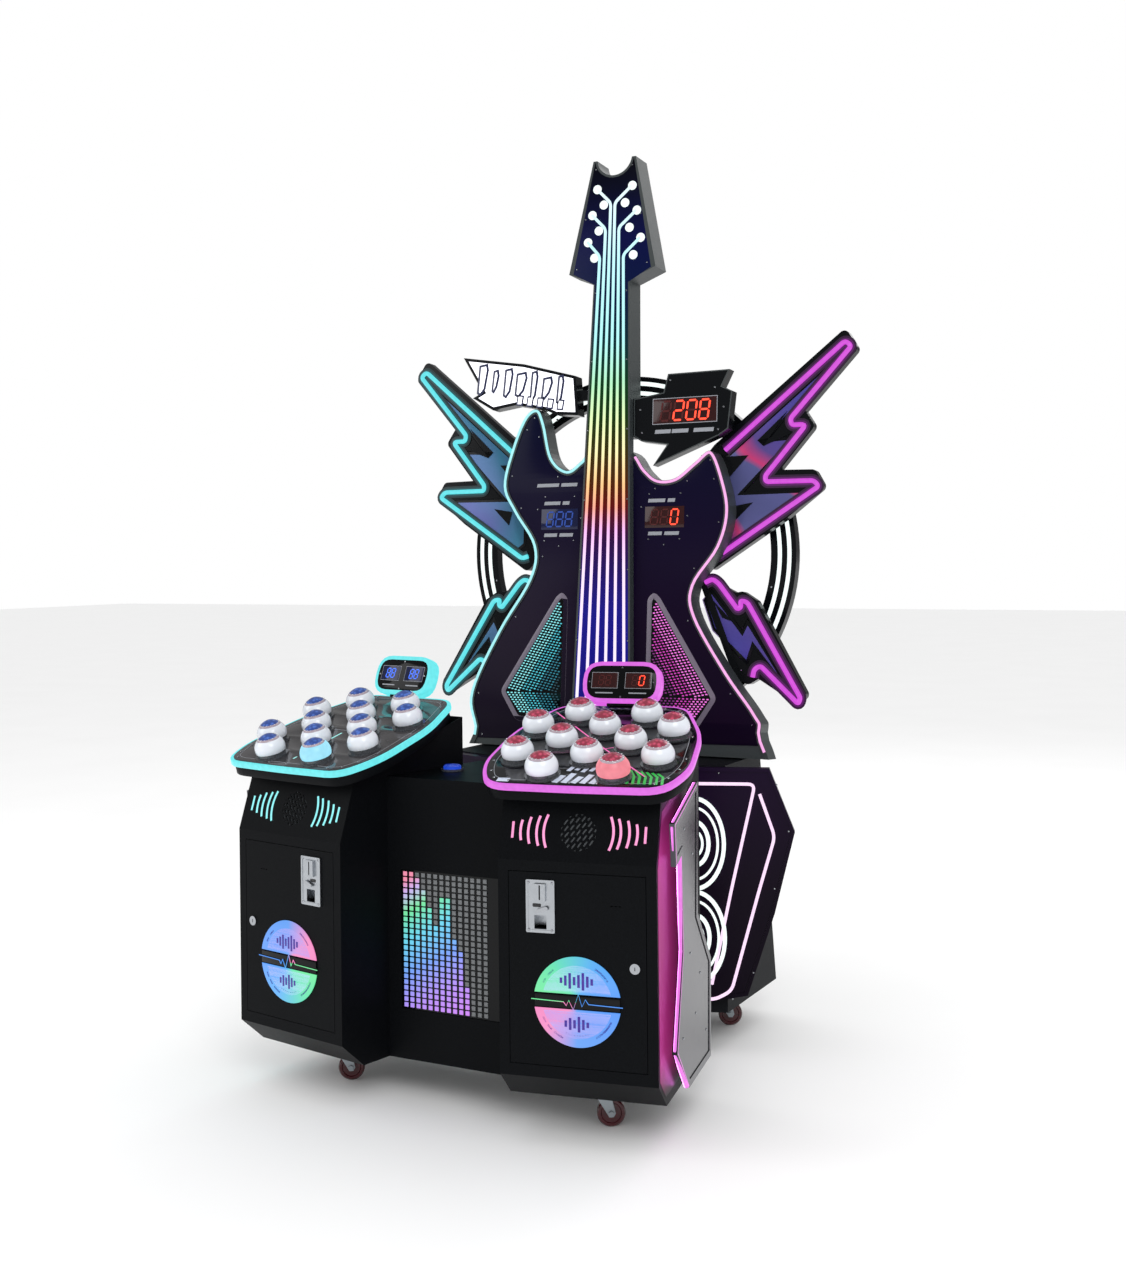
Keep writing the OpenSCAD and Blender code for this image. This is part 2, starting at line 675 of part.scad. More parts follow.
// Outlines of the right-hand upper and lower wings: distance from the middle against height
wing_upper = [[672, 1920], [708, 1860], [562, 1698], [590, 1655], [492, 1538], [592, 1536], [620, 1488],
    [518, 1407], [294, 1260], [246, 1312], [246, 1555], [296, 1615]];
wing_lower = [[246, 1262], [370, 1200], [390, 1204], [432, 1178], [580, 924], [554, 896], [440, 964],
    [410, 946], [366, 970]];
module wings() {
    color("#1a1d2c") both() lean_frame() for (w = [wing_upper, wing_lower]) difference() {
        upright(body_t + seat / 10, wing_t) rounded(wing_round) polygon(lift(w));
        upright(body_t - 1, 3) offset(delta = -20) rounded(wing_round) polygon(lift(w));
    }
}
// The ring stands off the guitar's back on two posts and a bracket at the neck
module halo_ring() {
    mid_r = ring_r - ring_w / 2;
    post_x = 300;
    post_z = ring_z - sqrt(mid_r * mid_r - post_x * post_x);
    neck_back = neck_t - neck_out + seat;
    color("#101418") {
        translate([0, ring_y, ring_z]) difference() {
            rotate([-90, 0, 0]) cylinder(r = ring_r, h = ring_t, $fn = 128);
            translate([0, -1, 0]) rotate([-90, 0, 0]) cylinder(r = ring_r - ring_w, h = ring_t + 2, $fn = 128);
        }
        lean_frame() {
            for (s = [-1, 1]) translate([s * post_x, body_t + seat, post_z - gtr_z]) rotate([-90, 0, 0])
                cylinder(r = 11, h = ring_y - gtr_y + 8 - body_t + (gtr_z - post_z) * tan(gtr_lean));
            translate([-25, neck_back, ring_z + mid_r - 20 - gtr_z])
                cube([50, ring_y - gtr_y + 8 - neck_back - (ring_z + mid_r - gtr_z) * tan(gtr_lean), 40]);
        }
    }
}

// Half width of the neck's upper length at a height
function neck_side(z) = 70 + (z - neck_free_z) / (neck_top_z - neck_free_z) * (neck_top_half - 70);
score_outline = [[neck_side(1641) + seat, 1641], [98, 1625], [177, 1613], [135, 1555], [332, 1632], [360, 1650], [370, 1755],
    [339, 1770], [361, 1816], [175, 1814], [162, 1762], [neck_side(1748) + seat, 1748]];
title_outline = [[-501, 1905], [-290, 1872], [-117, 1826], [-105, 1710], [-180, 1716], [-216, 1732], [-314, 1751],
    [-393, 1740], [-464, 1780], [-430, 1796]];
module boards() {
    color("#0d0f12") lean_frame() {
        upright(0, score_t) polygon(lift(score_outline));
        upright(-4, title_t) polygon(lift(title_outline));
        upright(8, 14) polygon(lift([[-125, 1755], [-neck_side(1755) - seat, 1755],
            [-neck_side(1785) - seat, 1785], [-125, 1785]]));
    }
}

console_shell(-1);  // console_shell_left
console_shell(1);  // console_shell_right
deck(-1);  // deck_left
deck(1);  // deck_right
button_housings();
for (s = [0, 1]) for (n = [0 : 11])
    dome(2 * s - 1, n);
start_button(-1);  // start_button_left
start_button(1);  // start_button_right
door(-1);  // door_left
door(1);  // door_right
coin_unit(-1);  // coin_unit_left
coin_unit(1);  // coin_unit_right
return_lever(-1);  // return_lever_left
return_lever(1);  // return_lever_right
door_lock(-1);  // door_lock_left
door_lock(1);  // door_lock_right
display_pods();
side_panels();
middle_cabinet();
matrix_panel();
base_cabinet();
link_frame();
inner_units();
speaker_panels();
guitar_body();
guitar_neck();
wings();
halo_ring();
boards();
caster_fork(0);  // caster_fork_front_left
caster_fork(1);  // caster_fork_front_right
caster_fork(2);  // caster_fork_rear_left
caster_fork(3);  // caster_fork_rear_right
caster_wheel(0);  // caster_wheel_front_left
caster_wheel(1);  // caster_wheel_front_right
caster_wheel(2);  // caster_wheel_rear_left
caster_wheel(3);  // caster_wheel_rear_right
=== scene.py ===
"""The looks of a two-player rhythm machine: two button consoles, a middle cabinet with a pixel panel,
and a lit guitar with wings on a base cabinet behind them."""

import math

import bmesh
import bpy
from mathutils import Matrix, Vector


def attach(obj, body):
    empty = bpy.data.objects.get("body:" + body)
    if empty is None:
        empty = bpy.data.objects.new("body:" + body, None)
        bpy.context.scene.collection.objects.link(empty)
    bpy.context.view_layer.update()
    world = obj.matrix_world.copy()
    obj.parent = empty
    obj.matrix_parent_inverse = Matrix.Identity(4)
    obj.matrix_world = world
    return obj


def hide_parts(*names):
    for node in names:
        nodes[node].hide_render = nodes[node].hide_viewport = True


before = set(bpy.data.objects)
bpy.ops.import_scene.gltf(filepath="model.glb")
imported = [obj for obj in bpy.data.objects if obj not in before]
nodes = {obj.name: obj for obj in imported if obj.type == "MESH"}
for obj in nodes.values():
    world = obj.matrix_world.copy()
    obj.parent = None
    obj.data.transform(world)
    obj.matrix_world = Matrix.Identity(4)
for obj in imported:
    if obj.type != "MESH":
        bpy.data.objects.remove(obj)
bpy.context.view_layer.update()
bpy.ops.object.select_all(action="DESELECT")

# Sizes and places in millimetres, as the CAD source has them
MM = 0.001
SIDES = {"left": -1, "right": 1}
CON_X, CON_Y, CON_TOE, CON_W = 392, -554, 10.7, 362
CREASE_Z, PANEL_LEAN = 633, 18.7
DECK_Y, DECK_Z, DECK_TILT, DECK_LEN, DECK_HALF = -27, 804, 16.2, 474, 241
DECK_TOP, DECK_SKIRT, SKIRT_IN = 17, 25, 8
DOME_R, DOME_H, DOME_PITCH, ROW_PITCH, ROW_START = 38, 58, 164, 80, 52
HOUSING_R, STEM_R, STEM_L, RIM_Z = 31.5, 9, 22, 12
POD_W, POD_H, POD_T, POD_LEAN, POD_V = 196, 104, 34, 20, 414
SIDE_GAP, SIDE_T = 17, 12
MID_Y, MID_Z, MATRIX_Z = -434, 773, 216
START_X, START_Y, START_R = 92, 150, 22
GTR_LEAN, GTR_Y, GTR_Z, BODY_T = 4.7, 385, 944, 58
NECK_OUT, NECK_FOOT = 22, 840
RING_Y, RING_Z = 548, 1306
BASE_BACK, BASE_LEAN, FLOOR_Z = 616, 9.5, 95
EMBLEM_Z, EMBLEM_R, EMBLEM_FACE_R = 329, 99, 80
COIN_X, COIN_Z = -82, 534
DOME_ROWS = (2, 3, 2, 3, 2)
DOMES = [((i - (n - 1) / 2) * DOME_PITCH, ROW_START + row * ROW_PITCH)
         for row, n in enumerate(DOME_ROWS) for i in range(n)]


# ---------------------------------------------------------------- places
def moved(x, y, z):
    return Matrix.Translation((x, y, z))


def turned(axis, degrees):
    return Matrix.Rotation(math.radians(degrees), 4, axis)


def flipped(side):
    return Matrix.Diagonal((side, 1, 1, 1))


def console_frame(side):
    return flipped(side) @ moved(CON_X, CON_Y, 0) @ turned("Z", CON_TOE)


def deck_frame(side):
    return console_frame(side) @ moved(0, DECK_Y, DECK_Z) @ turned("X", DECK_TILT)


def pod_frame(side):
    lift = POD_T * math.tan(math.radians(DECK_TILT + POD_LEAN)) + 3
    return (deck_frame(side) @ moved(0, POD_V, 0) @ turned("X", -DECK_TILT - POD_LEAN)
            @ moved(0, 0, POD_H / 2 + lift))


def speaker_frame(side):
    return flipped(side) @ moved(300, 176, 0) @ turned("Z", 20)


LEAN = moved(0, GTR_Y, GTR_Z) @ turned("X", -GTR_LEAN) @ moved(0, 0, -GTR_Z)
GROUND = Matrix.Identity(4)
UPRIGHT = turned("X", 90)  # lays a flat outline upright: its front looks at the player


# ---------------------------------------------------------------- modelling
def flat_cut(outline, thickness, edge=0.0, holes=()):
    """A sheet cut to an outline, its top at z = 0, with rounded rims and holes."""
    bpy.ops.object.select_all(action="DESELECT")
    data = bpy.data.curves.new("outline", "CURVE")
    data.dimensions, data.fill_mode = "2D", "BOTH"
    data.extrude = thickness / 2 - edge
    data.bevel_depth, data.bevel_resolution, data.offset = edge, 1, -edge
    for ring in (outline, *holes):
        spline = data.splines.new("POLY")
        spline.points.add(len(ring) - 1)
        for point, (x, y) in zip(spline.points, ring):
            point.co = (x, y, 0, 1)
        spline.use_cyclic_u = True
    return made_mesh(data, moved(0, 0, -thickness / 2))


def light_tube(points, radius, closed=False, bend=0.0, sides=3):
    """A round tube along points (x, y, z), its corners bent to a radius."""
    path = bent(points, bend, closed) if bend else points
    data = bpy.data.curves.new("tube", "CURVE")
    data.dimensions, data.bevel_depth, data.bevel_resolution = "3D", radius, sides
    data.use_fill_caps = True
    spline = data.splines.new("POLY")
    spline.points.add(len(path) - 1)
    for point, place in zip(spline.points, path):
        point.co = (*place, 1)
    spline.use_cyclic_u = closed
    return made_mesh(data, Matrix.Identity(4))


def made_mesh(curve, place):
    bpy.ops.object.select_all(action="DESELECT")
    piece = bpy.data.objects.new("piece", curve)
    bpy.context.scene.collection.objects.link(piece)
    bpy.context.view_layer.objects.active = piece
    piece.select_set(True)
    bpy.ops.object.convert(target="MESH")
    piece = bpy.context.object
    piece.data.transform(place)
    bpy.ops.object.mode_set(mode="EDIT")
    bpy.ops.mesh.select_all(action="SELECT")
    bpy.ops.mesh.remove_doubles(threshold=0.01)
    bpy.ops.mesh.normals_make_consistent(inside=False)
    bpy.ops.object.mode_set(mode="OBJECT")
    return piece


def bent(points, radius, closed):
    """The path with each corner replaced by an arc of a few points."""
    path, count = [], len(points)
    for i, corner in enumerate(points):
        here = Vector(corner)
        if not closed and i in (0, count - 1):
            path.append(here)
            continue
        back, on = Vector(points[i - 1]) - here, Vector(points[(i + 1) % count]) - here
        reach = min(radius, back.length * 0.45, on.length * 0.45)
        start, end = here + back.normalized() * reach, here + on.normalized() * reach
        for step in range(6):
            t = step / 5
            path.append(start * (1 - t) ** 2 + here * (2 * t * (1 - t)) + end * t ** 2)
    return path


def spun(profile, steps=32):
    """A round part: a closed ring of (radius, height) points spun about z."""
    bpy.ops.object.select_all(action="DESELECT")
    bpy.ops.mesh.primitive_circle_add(vertices=len(profile))
    piece = bpy.context.object
    for vertex, (r, z) in zip(piece.data.vertices, profile):
        vertex.co = (r, 0, z)
    bpy.ops.object.mode_set(mode="EDIT")
    bpy.ops.mesh.select_all(action="SELECT")
    bpy.ops.mesh.spin(steps=steps, angle=2 * math.pi, center=(0, 0, 0), axis=(0, 0, 1))
    bpy.ops.mesh.select_all(action="SELECT")
    bpy.ops.mesh.remove_doubles(threshold=0.01)
    bpy.ops.mesh.dissolve_degenerate(threshold=0.01)
    bpy.ops.mesh.normals_make_consistent(inside=False)
    bpy.ops.object.mode_set(mode="OBJECT")
    return piece


def block(low, high, edge=0.0, segments=2):
    """A box between two corners with bevelled edges."""
    bpy.ops.object.select_all(action="DESELECT")
    centre = [(a + b) / 2 for a, b in zip(low, high)]
    bpy.ops.mesh.primitive_cube_add(size=1, location=centre)
    piece = bpy.context.object
    piece.scale = [b - a for a, b in zip(low, high)]
    bpy.ops.object.transform_apply(location=True, rotation=True, scale=True)
    if edge:
        bpy.ops.object.mode_set(mode="EDIT")
        bpy.ops.mesh.select_all(action="SELECT")
        bpy.ops.mesh.bevel(offset=edge, segments=segments)
        bpy.ops.object.mode_set(mode="OBJECT")
    return piece


def repeated(piece, places):
    """One mesh made of a copy of the piece at each place."""
    whole = bmesh.new()
    for place in places:
        copy = piece.data.copy()
        copy.transform(place)
        if place.determinant() < 0:
            copy.flip_normals()
        whole.from_mesh(copy)
        bpy.data.meshes.remove(copy)
    whole.to_mesh(piece.data)
    whole.free()
    return piece


def painted(piece, finish):
    piece.data.materials.clear()
    piece.data.materials.append(finish)
    return piece


def sheet(outline, thickness, finish, edge=0.0, holes=()):
    return painted(flat_cut(outline, thickness, edge, holes), finish)


def oblong(x0, y0, x1, y1):
    return [(x0, y0), (x1, y0), (x1, y1), (x0, y1)]


def shifted(piece, x, y, z):
    piece.data.transform(moved(x, y, z))
    return piece


def twin(piece):
    """A second piece with a copy of the first one's mesh."""
    other = bpy.data.objects.new("piece", piece.data.copy())
    bpy.context.scene.collection.objects.link(other)
    return other


def joined(*pieces):
    bpy.ops.object.select_all(action="DESELECT")
    for piece in pieces:
        piece.select_set(True)
    bpy.context.view_layer.objects.active = pieces[0]
    if len(pieces) > 1:
        bpy.ops.object.join()
    return pieces[0]


def placed(piece, name, where, body, smooth=35):
    """Puts a finished piece in the machine, with its place in its mesh, and ties it to its body."""
    piece.data.transform(Matrix.Diagonal((MM, MM, MM, 1)) @ where @ piece.matrix_world)
    piece.matrix_world = Matrix.Identity(4)
    if where.determinant() < 0:
        piece.data.flip_normals()
    bpy.ops.object.select_all(action="DESELECT")
    piece.select_set(True)
    bpy.context.view_layer.objects.active = piece
    bpy.ops.object.shade_smooth_by_angle(angle=math.radians(smooth))
    piece.name = name
    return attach(piece, body)


def circle(radius, count, x=0.0, y=0.0, start=0.0, sweep=360.0):
    """Points on a circle, or on a part of one."""
    steps = count if sweep == 360 else count - 1
    angles = [math.radians(start + sweep * i / steps) for i in range(count)]
    return [(x + radius * math.cos(a), y + radius * math.sin(a)) for a in angles]


def rounded(outline, radius):
    return [(p[0], p[1]) for p in bent([(x, y, 0) for x, y in outline], radius, True)]


def inset(outline, distance):
    """The outline moved inwards by a distance, corner by corner."""
    area = sum(a[0] * b[1] - b[0] * a[1] for a, b in zip(outline, outline[1:] + outline[:1]))
    sign, result, count = (1 if area > 0 else -1), [], len(outline)
    for i in range(count):
        a, b, c = (Vector(outline[j % count]) for j in (i - 1, i, i + 1))
        u, v = (b - a).normalized(), (c - b).normalized()
        n = Vector((-u.y - v.y, u.x + v.x))
        n = n.normalized() if n.length > 0.01 else Vector((-u.y, u.x))
        open_by = max(0.35, abs(n.dot(Vector((-u.y, u.x)))))
        result.append(tuple(b + n * (sign * distance / open_by)))
    return result


def upright_path(points, y):
    return [(x, y, z) for x, z in points]


# ---------------------------------------------------------------- camera, light and floor
CAMERA_PLACE = (1.9666, -3.5696, 1.3094)
CAMERA_TURN, CAMERA_ROLL, CAMERA_LENS, CAMERA_SHIFT = 27.92, -0.011, 43.84, -0.068
FLOOR_SIZE = 60
# Name, place, turn in degrees, size in metres and power in watts of each soft lamp
LAMPS = (("key_softbox", (3.2, -4.2, 4.2), (48, 0, 36), 2.6, 90),
         ("fill_softbox", (-4.4, -3.2, 3.0), (62, 0, -52), 2.8, 45),
         ("back_softbox", (0.5, 4.6, 4.4), (-50, 0, 0), 3.0, 50))
SKY_LIGHT, SKY_REFLECTED = 1.0, 0.3


def studio():
    """White surroundings, seen at less than a third of their light in what is glossy."""
    bpy.ops.object.camera_add(location=CAMERA_PLACE, rotation=(math.pi / 2, 0, math.radians(CAMERA_TURN)))
    camera = bpy.context.object
    camera.rotation_euler.rotate_axis("Z", CAMERA_ROLL)
    camera.data.sensor_width, camera.data.lens = 36, CAMERA_LENS
    camera.data.shift_y = CAMERA_SHIFT
    camera.data.clip_end = FLOOR_SIZE
    bpy.context.scene.camera = camera
    bpy.ops.mesh.primitive_grid_add(x_subdivisions=2, y_subdivisions=2, size=FLOOR_SIZE)
    floor = bpy.context.object
    floor.name = "studio_floor"
    painted(floor, pale_floor())
    for name, place, turn, size, power in LAMPS:
        bpy.ops.object.light_add(type="AREA", location=place, rotation=[math.radians(a) for a in turn])
        lamp = bpy.context.object
        lamp.name, lamp.data.size, lamp.data.energy = name, size, power
    world = bpy.data.worlds.new("studio")
    bpy.context.scene.world = world
    world.use_nodes = True
    sky = world.node_tree
    sky.nodes.clear()
    gloss = add(sky, "ShaderNodeLightPath").outputs["Is Glossy Ray"]
    level = ranged(sky, gloss, to_min=SKY_LIGHT, to_max=SKY_REFLECTED)
    glow = add(sky, "ShaderNodeBackground", {"Color": colour("#ffffff"), "Strength": level})
    add(sky, "ShaderNodeOutputWorld", {"Surface": glow.outputs[0]})
    bpy.context.scene.view_settings.view_transform = "Standard"


# ---------------------------------------------------------------- shader nodes
def colour(hex_value):
    """A linear colour from an sRGB hex value."""
    parts = [int(hex_value[i:i + 2], 16) / 255 for i in (1, 3, 5)]
    return (*[p / 12.92 if p <= 0.04045 else ((p + 0.055) / 1.055) ** 2.4 for p in parts], 1)


def add(tree, kind, inputs=None, **settings):
    """Adds a node. Each input is a value or another node's output."""
    made = tree.nodes.new(kind)
    for name, value in settings.items():
        setattr(made, name, value)
    for name, value in (inputs or {}).items():
        if isinstance(value, bpy.types.NodeSocket):
            tree.links.new(value, made.inputs[name])
        else:
            made.inputs[name].default_value = value
    return made


def new_finish(name):
    """A new material, its node tree and the place of each point on the machine in metres."""
    finish = bpy.data.materials.new(name)
    finish.use_nodes = True
    finish.node_tree.nodes.clear()
    return finish, finish.node_tree, add(finish.node_tree, "ShaderNodeTexCoord").outputs["Object"]


def noise(tree, place, scale, detail=2):
    return add(tree, "ShaderNodeTexNoise", {"Vector": place, "Scale": scale, "Detail": detail}).outputs["Fac"]


def ranged(tree, value, **limits):
    """The value brought from one range (from_min, from_max) to another (to_min, to_max)."""
    inputs = {name.replace("_", " ").title(): limit for name, limit in limits.items()}
    return add(tree, "ShaderNodeMapRange", {"Value": value, **inputs}).outputs["Result"]


def maths(tree, operation, *values):
    return add(tree, "ShaderNodeMath", dict(enumerate(values)), operation=operation).outputs[0]


def axes(tree, place):
    """A place's X, Y and Z."""
    return add(tree, "ShaderNodeSeparateXYZ", {"Vector": place}).outputs


def tinted(tree, share, tints):
    """A colour that runs through (position, hex) pairs as the share goes from 0 to 1."""
    ramp = add(tree, "ShaderNodeValToRGB", {"Fac": share})
    elements = ramp.color_ramp.elements
    while len(elements) < len(tints):
        elements.new(0.5)
    for element, (position, hex_value) in zip(elements, tints):
        element.position, element.color = position, colour(hex_value)
    return ramp.outputs["Color"]


def by_height(tree, place, low_z, high_z, tints):
    return tinted(tree, ranged(tree, axes(tree, place)["Z"], from_min=low_z, from_max=high_z), tints)


def surfaced(tree, shader_inputs, bump=None):
    """Ends a material in a Principled shader, with a bump (height, metres) if one is given."""
    if bump:
        bump_node = add(tree, "ShaderNodeBump", {"Height": bump[0], "Distance": bump[1], "Strength": 0.6})
        shader_inputs["Normal"] = bump_node.outputs[0]
    shader = add(tree, "ShaderNodeBsdfPrincipled", shader_inputs)
    add(tree, "ShaderNodeOutputMaterial", {"Surface": shader.outputs[0]})


# ---------------------------------------------------------------- finishes
def powder_coat(name, hex_low, hex_high, rough):
    """Textured powder coat on steel: a fine pebble of about half a millimetre, drawn 2 mm coarse so
    that it shows, and slightly uneven gloss."""
    finish, tree, place = new_finish(name)
    grain = noise(tree, place, 500)
    gloss = ranged(tree, noise(tree, place, 3, 3), to_min=rough - 0.06, to_max=rough + 0.08)
    shade = tinted(tree, grain, ((0.35, hex_low), (0.7, hex_high)))
    surfaced(tree, {"Base Color": shade, "Roughness": gloss, "Specular IOR Level": 0.06}, (grain, 0.0006))
    return finish


def printed_panel(name, low_z, high_z, tints):
    """Back-printed acrylic: a colour print that changes with height under a clear gloss face."""
    finish, tree, place = new_finish(name)
    shade = by_height(tree, place, low_z, high_z, tints)
    surfaced(tree, {"Base Color": shade, "Roughness": 0.3, "Specular IOR Level": 0.08},
             (noise(tree, place, 5), 0.0008))
    return finish


def plastic(name, hex_value, rough, grain=900, depth=0.0001, **more):
    """Moulded or cast plastic with a faint grain."""
    finish, tree, place = new_finish(name)
    grains = noise(tree, place, grain)
    tone = ranged(tree, grains, to_min=rough * 0.85, to_max=rough * 1.2)
    surfaced(tree, {"Base Color": colour(hex_value), "Roughness": tone, **more}, (grains, depth))
    return finish


def iris_finish(name, hex_dark, hex_light):
    """A dome's crown: mottled colour with a faint light of its own under a clear gloss coat."""
    finish, tree, place = new_finish(name)
    cells = add(tree, "ShaderNodeTexVoronoi", {"Vector": place, "Scale": 110}).outputs["Distance"]
    shade = tinted(tree, cells, ((0.2, hex_light), (0.6, hex_dark)))
    surfaced(tree, {"Base Color": shade, "Roughness": 0.3, "Coat Weight": 1.0, "Coat Roughness": 0.02,
                    "Emission Color": shade, "Emission Strength": 0.25})
    return finish


def metal(name, hex_value, rough, stretch):
    """Plated or drawn metal: brush marks along the stretched way, worn a little uneven."""
    finish, tree, place = new_finish(name)
    along = add(tree, "ShaderNodeMapping", {"Vector": place, "Scale": stretch}).outputs[0]
    marks = noise(tree, along, 260, 4)
    mixed = maths(tree, "MULTIPLY", marks, noise(tree, place, 60, 3))
    tone = ranged(tree, mixed, from_max=0.5, to_min=rough * 0.7, to_max=rough * 1.4)
    surfaced(tree, {"Base Color": colour(hex_value), "Metallic": 1.0, "Roughness": tone}, (marks, 0.00012))
    return finish


def lit_silicone(name, core, strength, ground="#2a2a2c", spill=0.0, towards=(0, 1, 0)):
    """Milky silicone over a row of diodes: the light shows through evenly, with a slight beat at
    the diodes' pitch of 10 mm. With a spill, the side that looks the given way glows that much
    more, to light what the tube is fixed to."""
    finish, tree, place = new_finish(name)
    level = ranged(tree, noise(tree, place, 100, 0), to_min=strength * 0.9, to_max=strength * 1.1)
    if spill:
        normal = add(tree, "ShaderNodeTexCoord").outputs["Normal"]
        facing_it = add(tree, "ShaderNodeVectorMath", {0: normal, 1: towards}, operation="DOT_PRODUCT")
        extra = ranged(tree, facing_it.outputs["Value"], from_min=0.35, from_max=0.8, to_max=spill)
        level = maths(tree, "ADD", level, extra)
    surfaced(tree, {"Base Color": colour(ground), "Roughness": 0.35, "Emission Color": colour(core),
                    "Emission Strength": level})
    return finish


def lit_by_height(name, low_z, high_z, strength, tints):
    """Lit silicone whose colour runs with height, as the strings' diodes are set."""
    finish, tree, place = new_finish(name)
    shade = by_height(tree, place, low_z, high_z, tints)
    surfaced(tree, {"Base Color": colour("#2a2a2c"), "Roughness": 0.3, "Emission Color": shade,
                    "Emission Strength": strength})
    return finish


def wall_wash(name, hex_value):
    """A satin black sheet that glows of itself where the strip beside it would throw its light on the
    shell: most towards the front, less to the rear and not at the ends."""
    finish, tree, place = new_finish(name)
    parts = axes(tree, place)
    back = ranged(tree, parts["Y"], from_min=-0.56, from_max=-0.3, to_min=1.0, to_max=0.1)
    low = ranged(tree, parts["Z"], from_min=0.12, from_max=0.2)
    high = ranged(tree, parts["Z"], from_min=0.8, from_max=0.66)
    level = maths(tree, "MULTIPLY", back, maths(tree, "MULTIPLY", low, high))
    surfaced(tree, {"Base Color": colour("#141416"), "Roughness": 0.4, "Specular IOR Level": 0.12,
                    "Emission Color": colour(hex_value), "Emission Strength": level},
             (noise(tree, place, 500), 0.0004))
    return finish


def pale_floor():
    """A plain pale studio floor with a faint mottling."""
    finish, tree, place = new_finish("studio_paper")
    shade = tinted(tree, noise(tree, place, 2), ((0.0, "#f6f6f6"), (1.0, "#fafafa")))
    surfaced(tree, {"Base Color": shade, "Roughness": 0.8})
    return finish


def lit_pair(left, right):
    """The left player's lit finish and the right player's, each from a name, a colour and a strength."""
    return {"left": lit_silicone(*left), "right": lit_silicone(*right)}


def spilling_pair(left, right, towards=((0, 1, 0), (0, 1, 0))):
    """The same with the light each tube throws on what is behind or beside it."""
    return {side: lit_silicone(name, tint, 1.0, spill=spill, towards=way)
            for side, (name, tint, spill), way in zip(SIDES, (left, right), towards)}


# The left player's light is cyan and the right player's pink
CYAN = "#5fe3ea"
coat_black = powder_coat("black_powder_coat", "#08090b", "#0e1013", 0.42)
coat_panel = powder_coat("charcoal_powder_coat", "#121316", "#1b1d21", 0.46)
coat_frame = powder_coat("black_frame_paint", "#0b0c0e", "#121417", 0.5)
inner_grey = plastic("grey_abs_moulding", "#54585c", 0.5, 700, 0.0002)
board_black = plastic("black_acrylic_board", "#090b0e", 0.16, 300, 0.00005, **{"Specular IOR Level": 0.18})
core_edge = plastic("foam_core_edge", "#343a3b", 0.42, 200, 0.0004)
gloss_black = plastic("gloss_black_acrylic", "#050608", 0.08, 200, 0.00004, **{"Specular IOR Level": 0.2})
smoke_clear = plastic("smoked_acrylic", "#101014", 0.04, 200, 0.00003)
screw_chrome = metal("chrome_plated_screw", "#a8abb0", 0.16, (1, 1, 1))
zinc_satin = metal("satin_nickel_zinc", "#b4b8bd", 0.3, (8, 8, 0.6))
zinc_fork = metal("zinc_plated_steel", "#9aa1a6", 0.34, (1, 1, 6))
wheel_pu = plastic("maroon_polyurethane", "#430a14", 0.24, 120, 0.0002, **{"Coat Weight": 0.3})
clear_collar = plastic("clear_grey_polycarbonate", "#5c5f64", 0.12, 150, 0.0001,
                       **{"Transmission Weight": 0.45, "IOR": 1.58})
dome_white = plastic("milky_polycarbonate", "#dfe3ea", 0.2, 120, 0.00008,
                     **{"Subsurface Weight": 0.35, "Subsurface Radius": (0.01, 0.01, 0.011),
                        "Coat Weight": 0.5})
lens_clear = plastic("clear_polycarbonate_lens", "#f4f6f8", 0.03, 100, 0.00002,
                     **{"Transmission Weight": 0.96, "IOR": 1.58})
# Glossy and closed, in the tone that a clear shoulder shows
shoulder_grey = plastic("clear_shoulder", "#a99aa4", 0.08, 100, 0.00002, **{"Coat Weight": 1.0})
iris = {"left": iris_finish("blue_iris", "#1a3a80", "#3f64b4"),
        "right": iris_finish("crimson_iris", "#7a1c34", "#b4405c")}
dome_lit = lit_pair(("lit_dome_cyan", "#9fe8ff", 0.95), ("lit_dome_red", "#ff8c9a", 0.85))
edge_light = lit_pair(("cyan_edge_light", "#66e8ec", 1.0), ("pink_edge_light", "#e264e6", 0.95))
side_light = spilling_pair(("cyan_side_strip", CYAN, 14), ("pink_side_strip", "#f07ae8", 18),
                           ((1, 0, 0), (-1, 0, 0)))
# Painted glow: the light the side strips throw on each console shell, drawn as self-lit colour on a sheet
wash_light = {"left": wall_wash("cyan_painted_shell_glow", "#137a84"),
              "right": wall_wash("magenta_painted_shell_glow", "#b0287c")}
bar_light = lit_pair(("cyan_bar_light", "#8ff2f5", 1.1), ("rose_bar_light", "#ff9ad0", 1.1))
wing_light = spilling_pair(("cyan_wing_tube", CYAN, 9), ("magenta_wing_tube", "#d244d8", 9))
body_light = spilling_pair(("pale_cyan_edge_tube", "#a8f4f8", 5), ("pale_pink_edge_tube", "#ffb0ee", 5))
white_light = lit_silicone("white_tube", "#f2fffc", 1.15)
rose_white = lit_silicone("rose_white_tube", "#fbd9f8", 1.15)
digit_red = lit_silicone("red_digit_lit", "#ff3a20", 1.2, "#ff4a30")
digit_blue = lit_silicone("blue_digit_lit", "#2f66e8", 0.9, "#3060e0")
digit_red_off = plastic("red_digit_unlit", "#4a0c0c", 0.3, 300)
digit_blue_off = lit_silicone("blue_digit_dim", "#1c459c", 0.8, "#10235c")
window_red = plastic("red_display_window", "#2a0506", 0.08, 300)
window_blue = plastic("blue_display_window", "#060f38", 0.08, 300)
caption_grey = plastic("grey_printed_mark", "#8f9299", 0.3, 300)
frame_grey = plastic("grey_window_trim", "#6f6675", 0.28, 300)
mirror_grey = metal("smoked_mirror_acrylic", "#4e4d53", 0.16, (1, 1, 1))


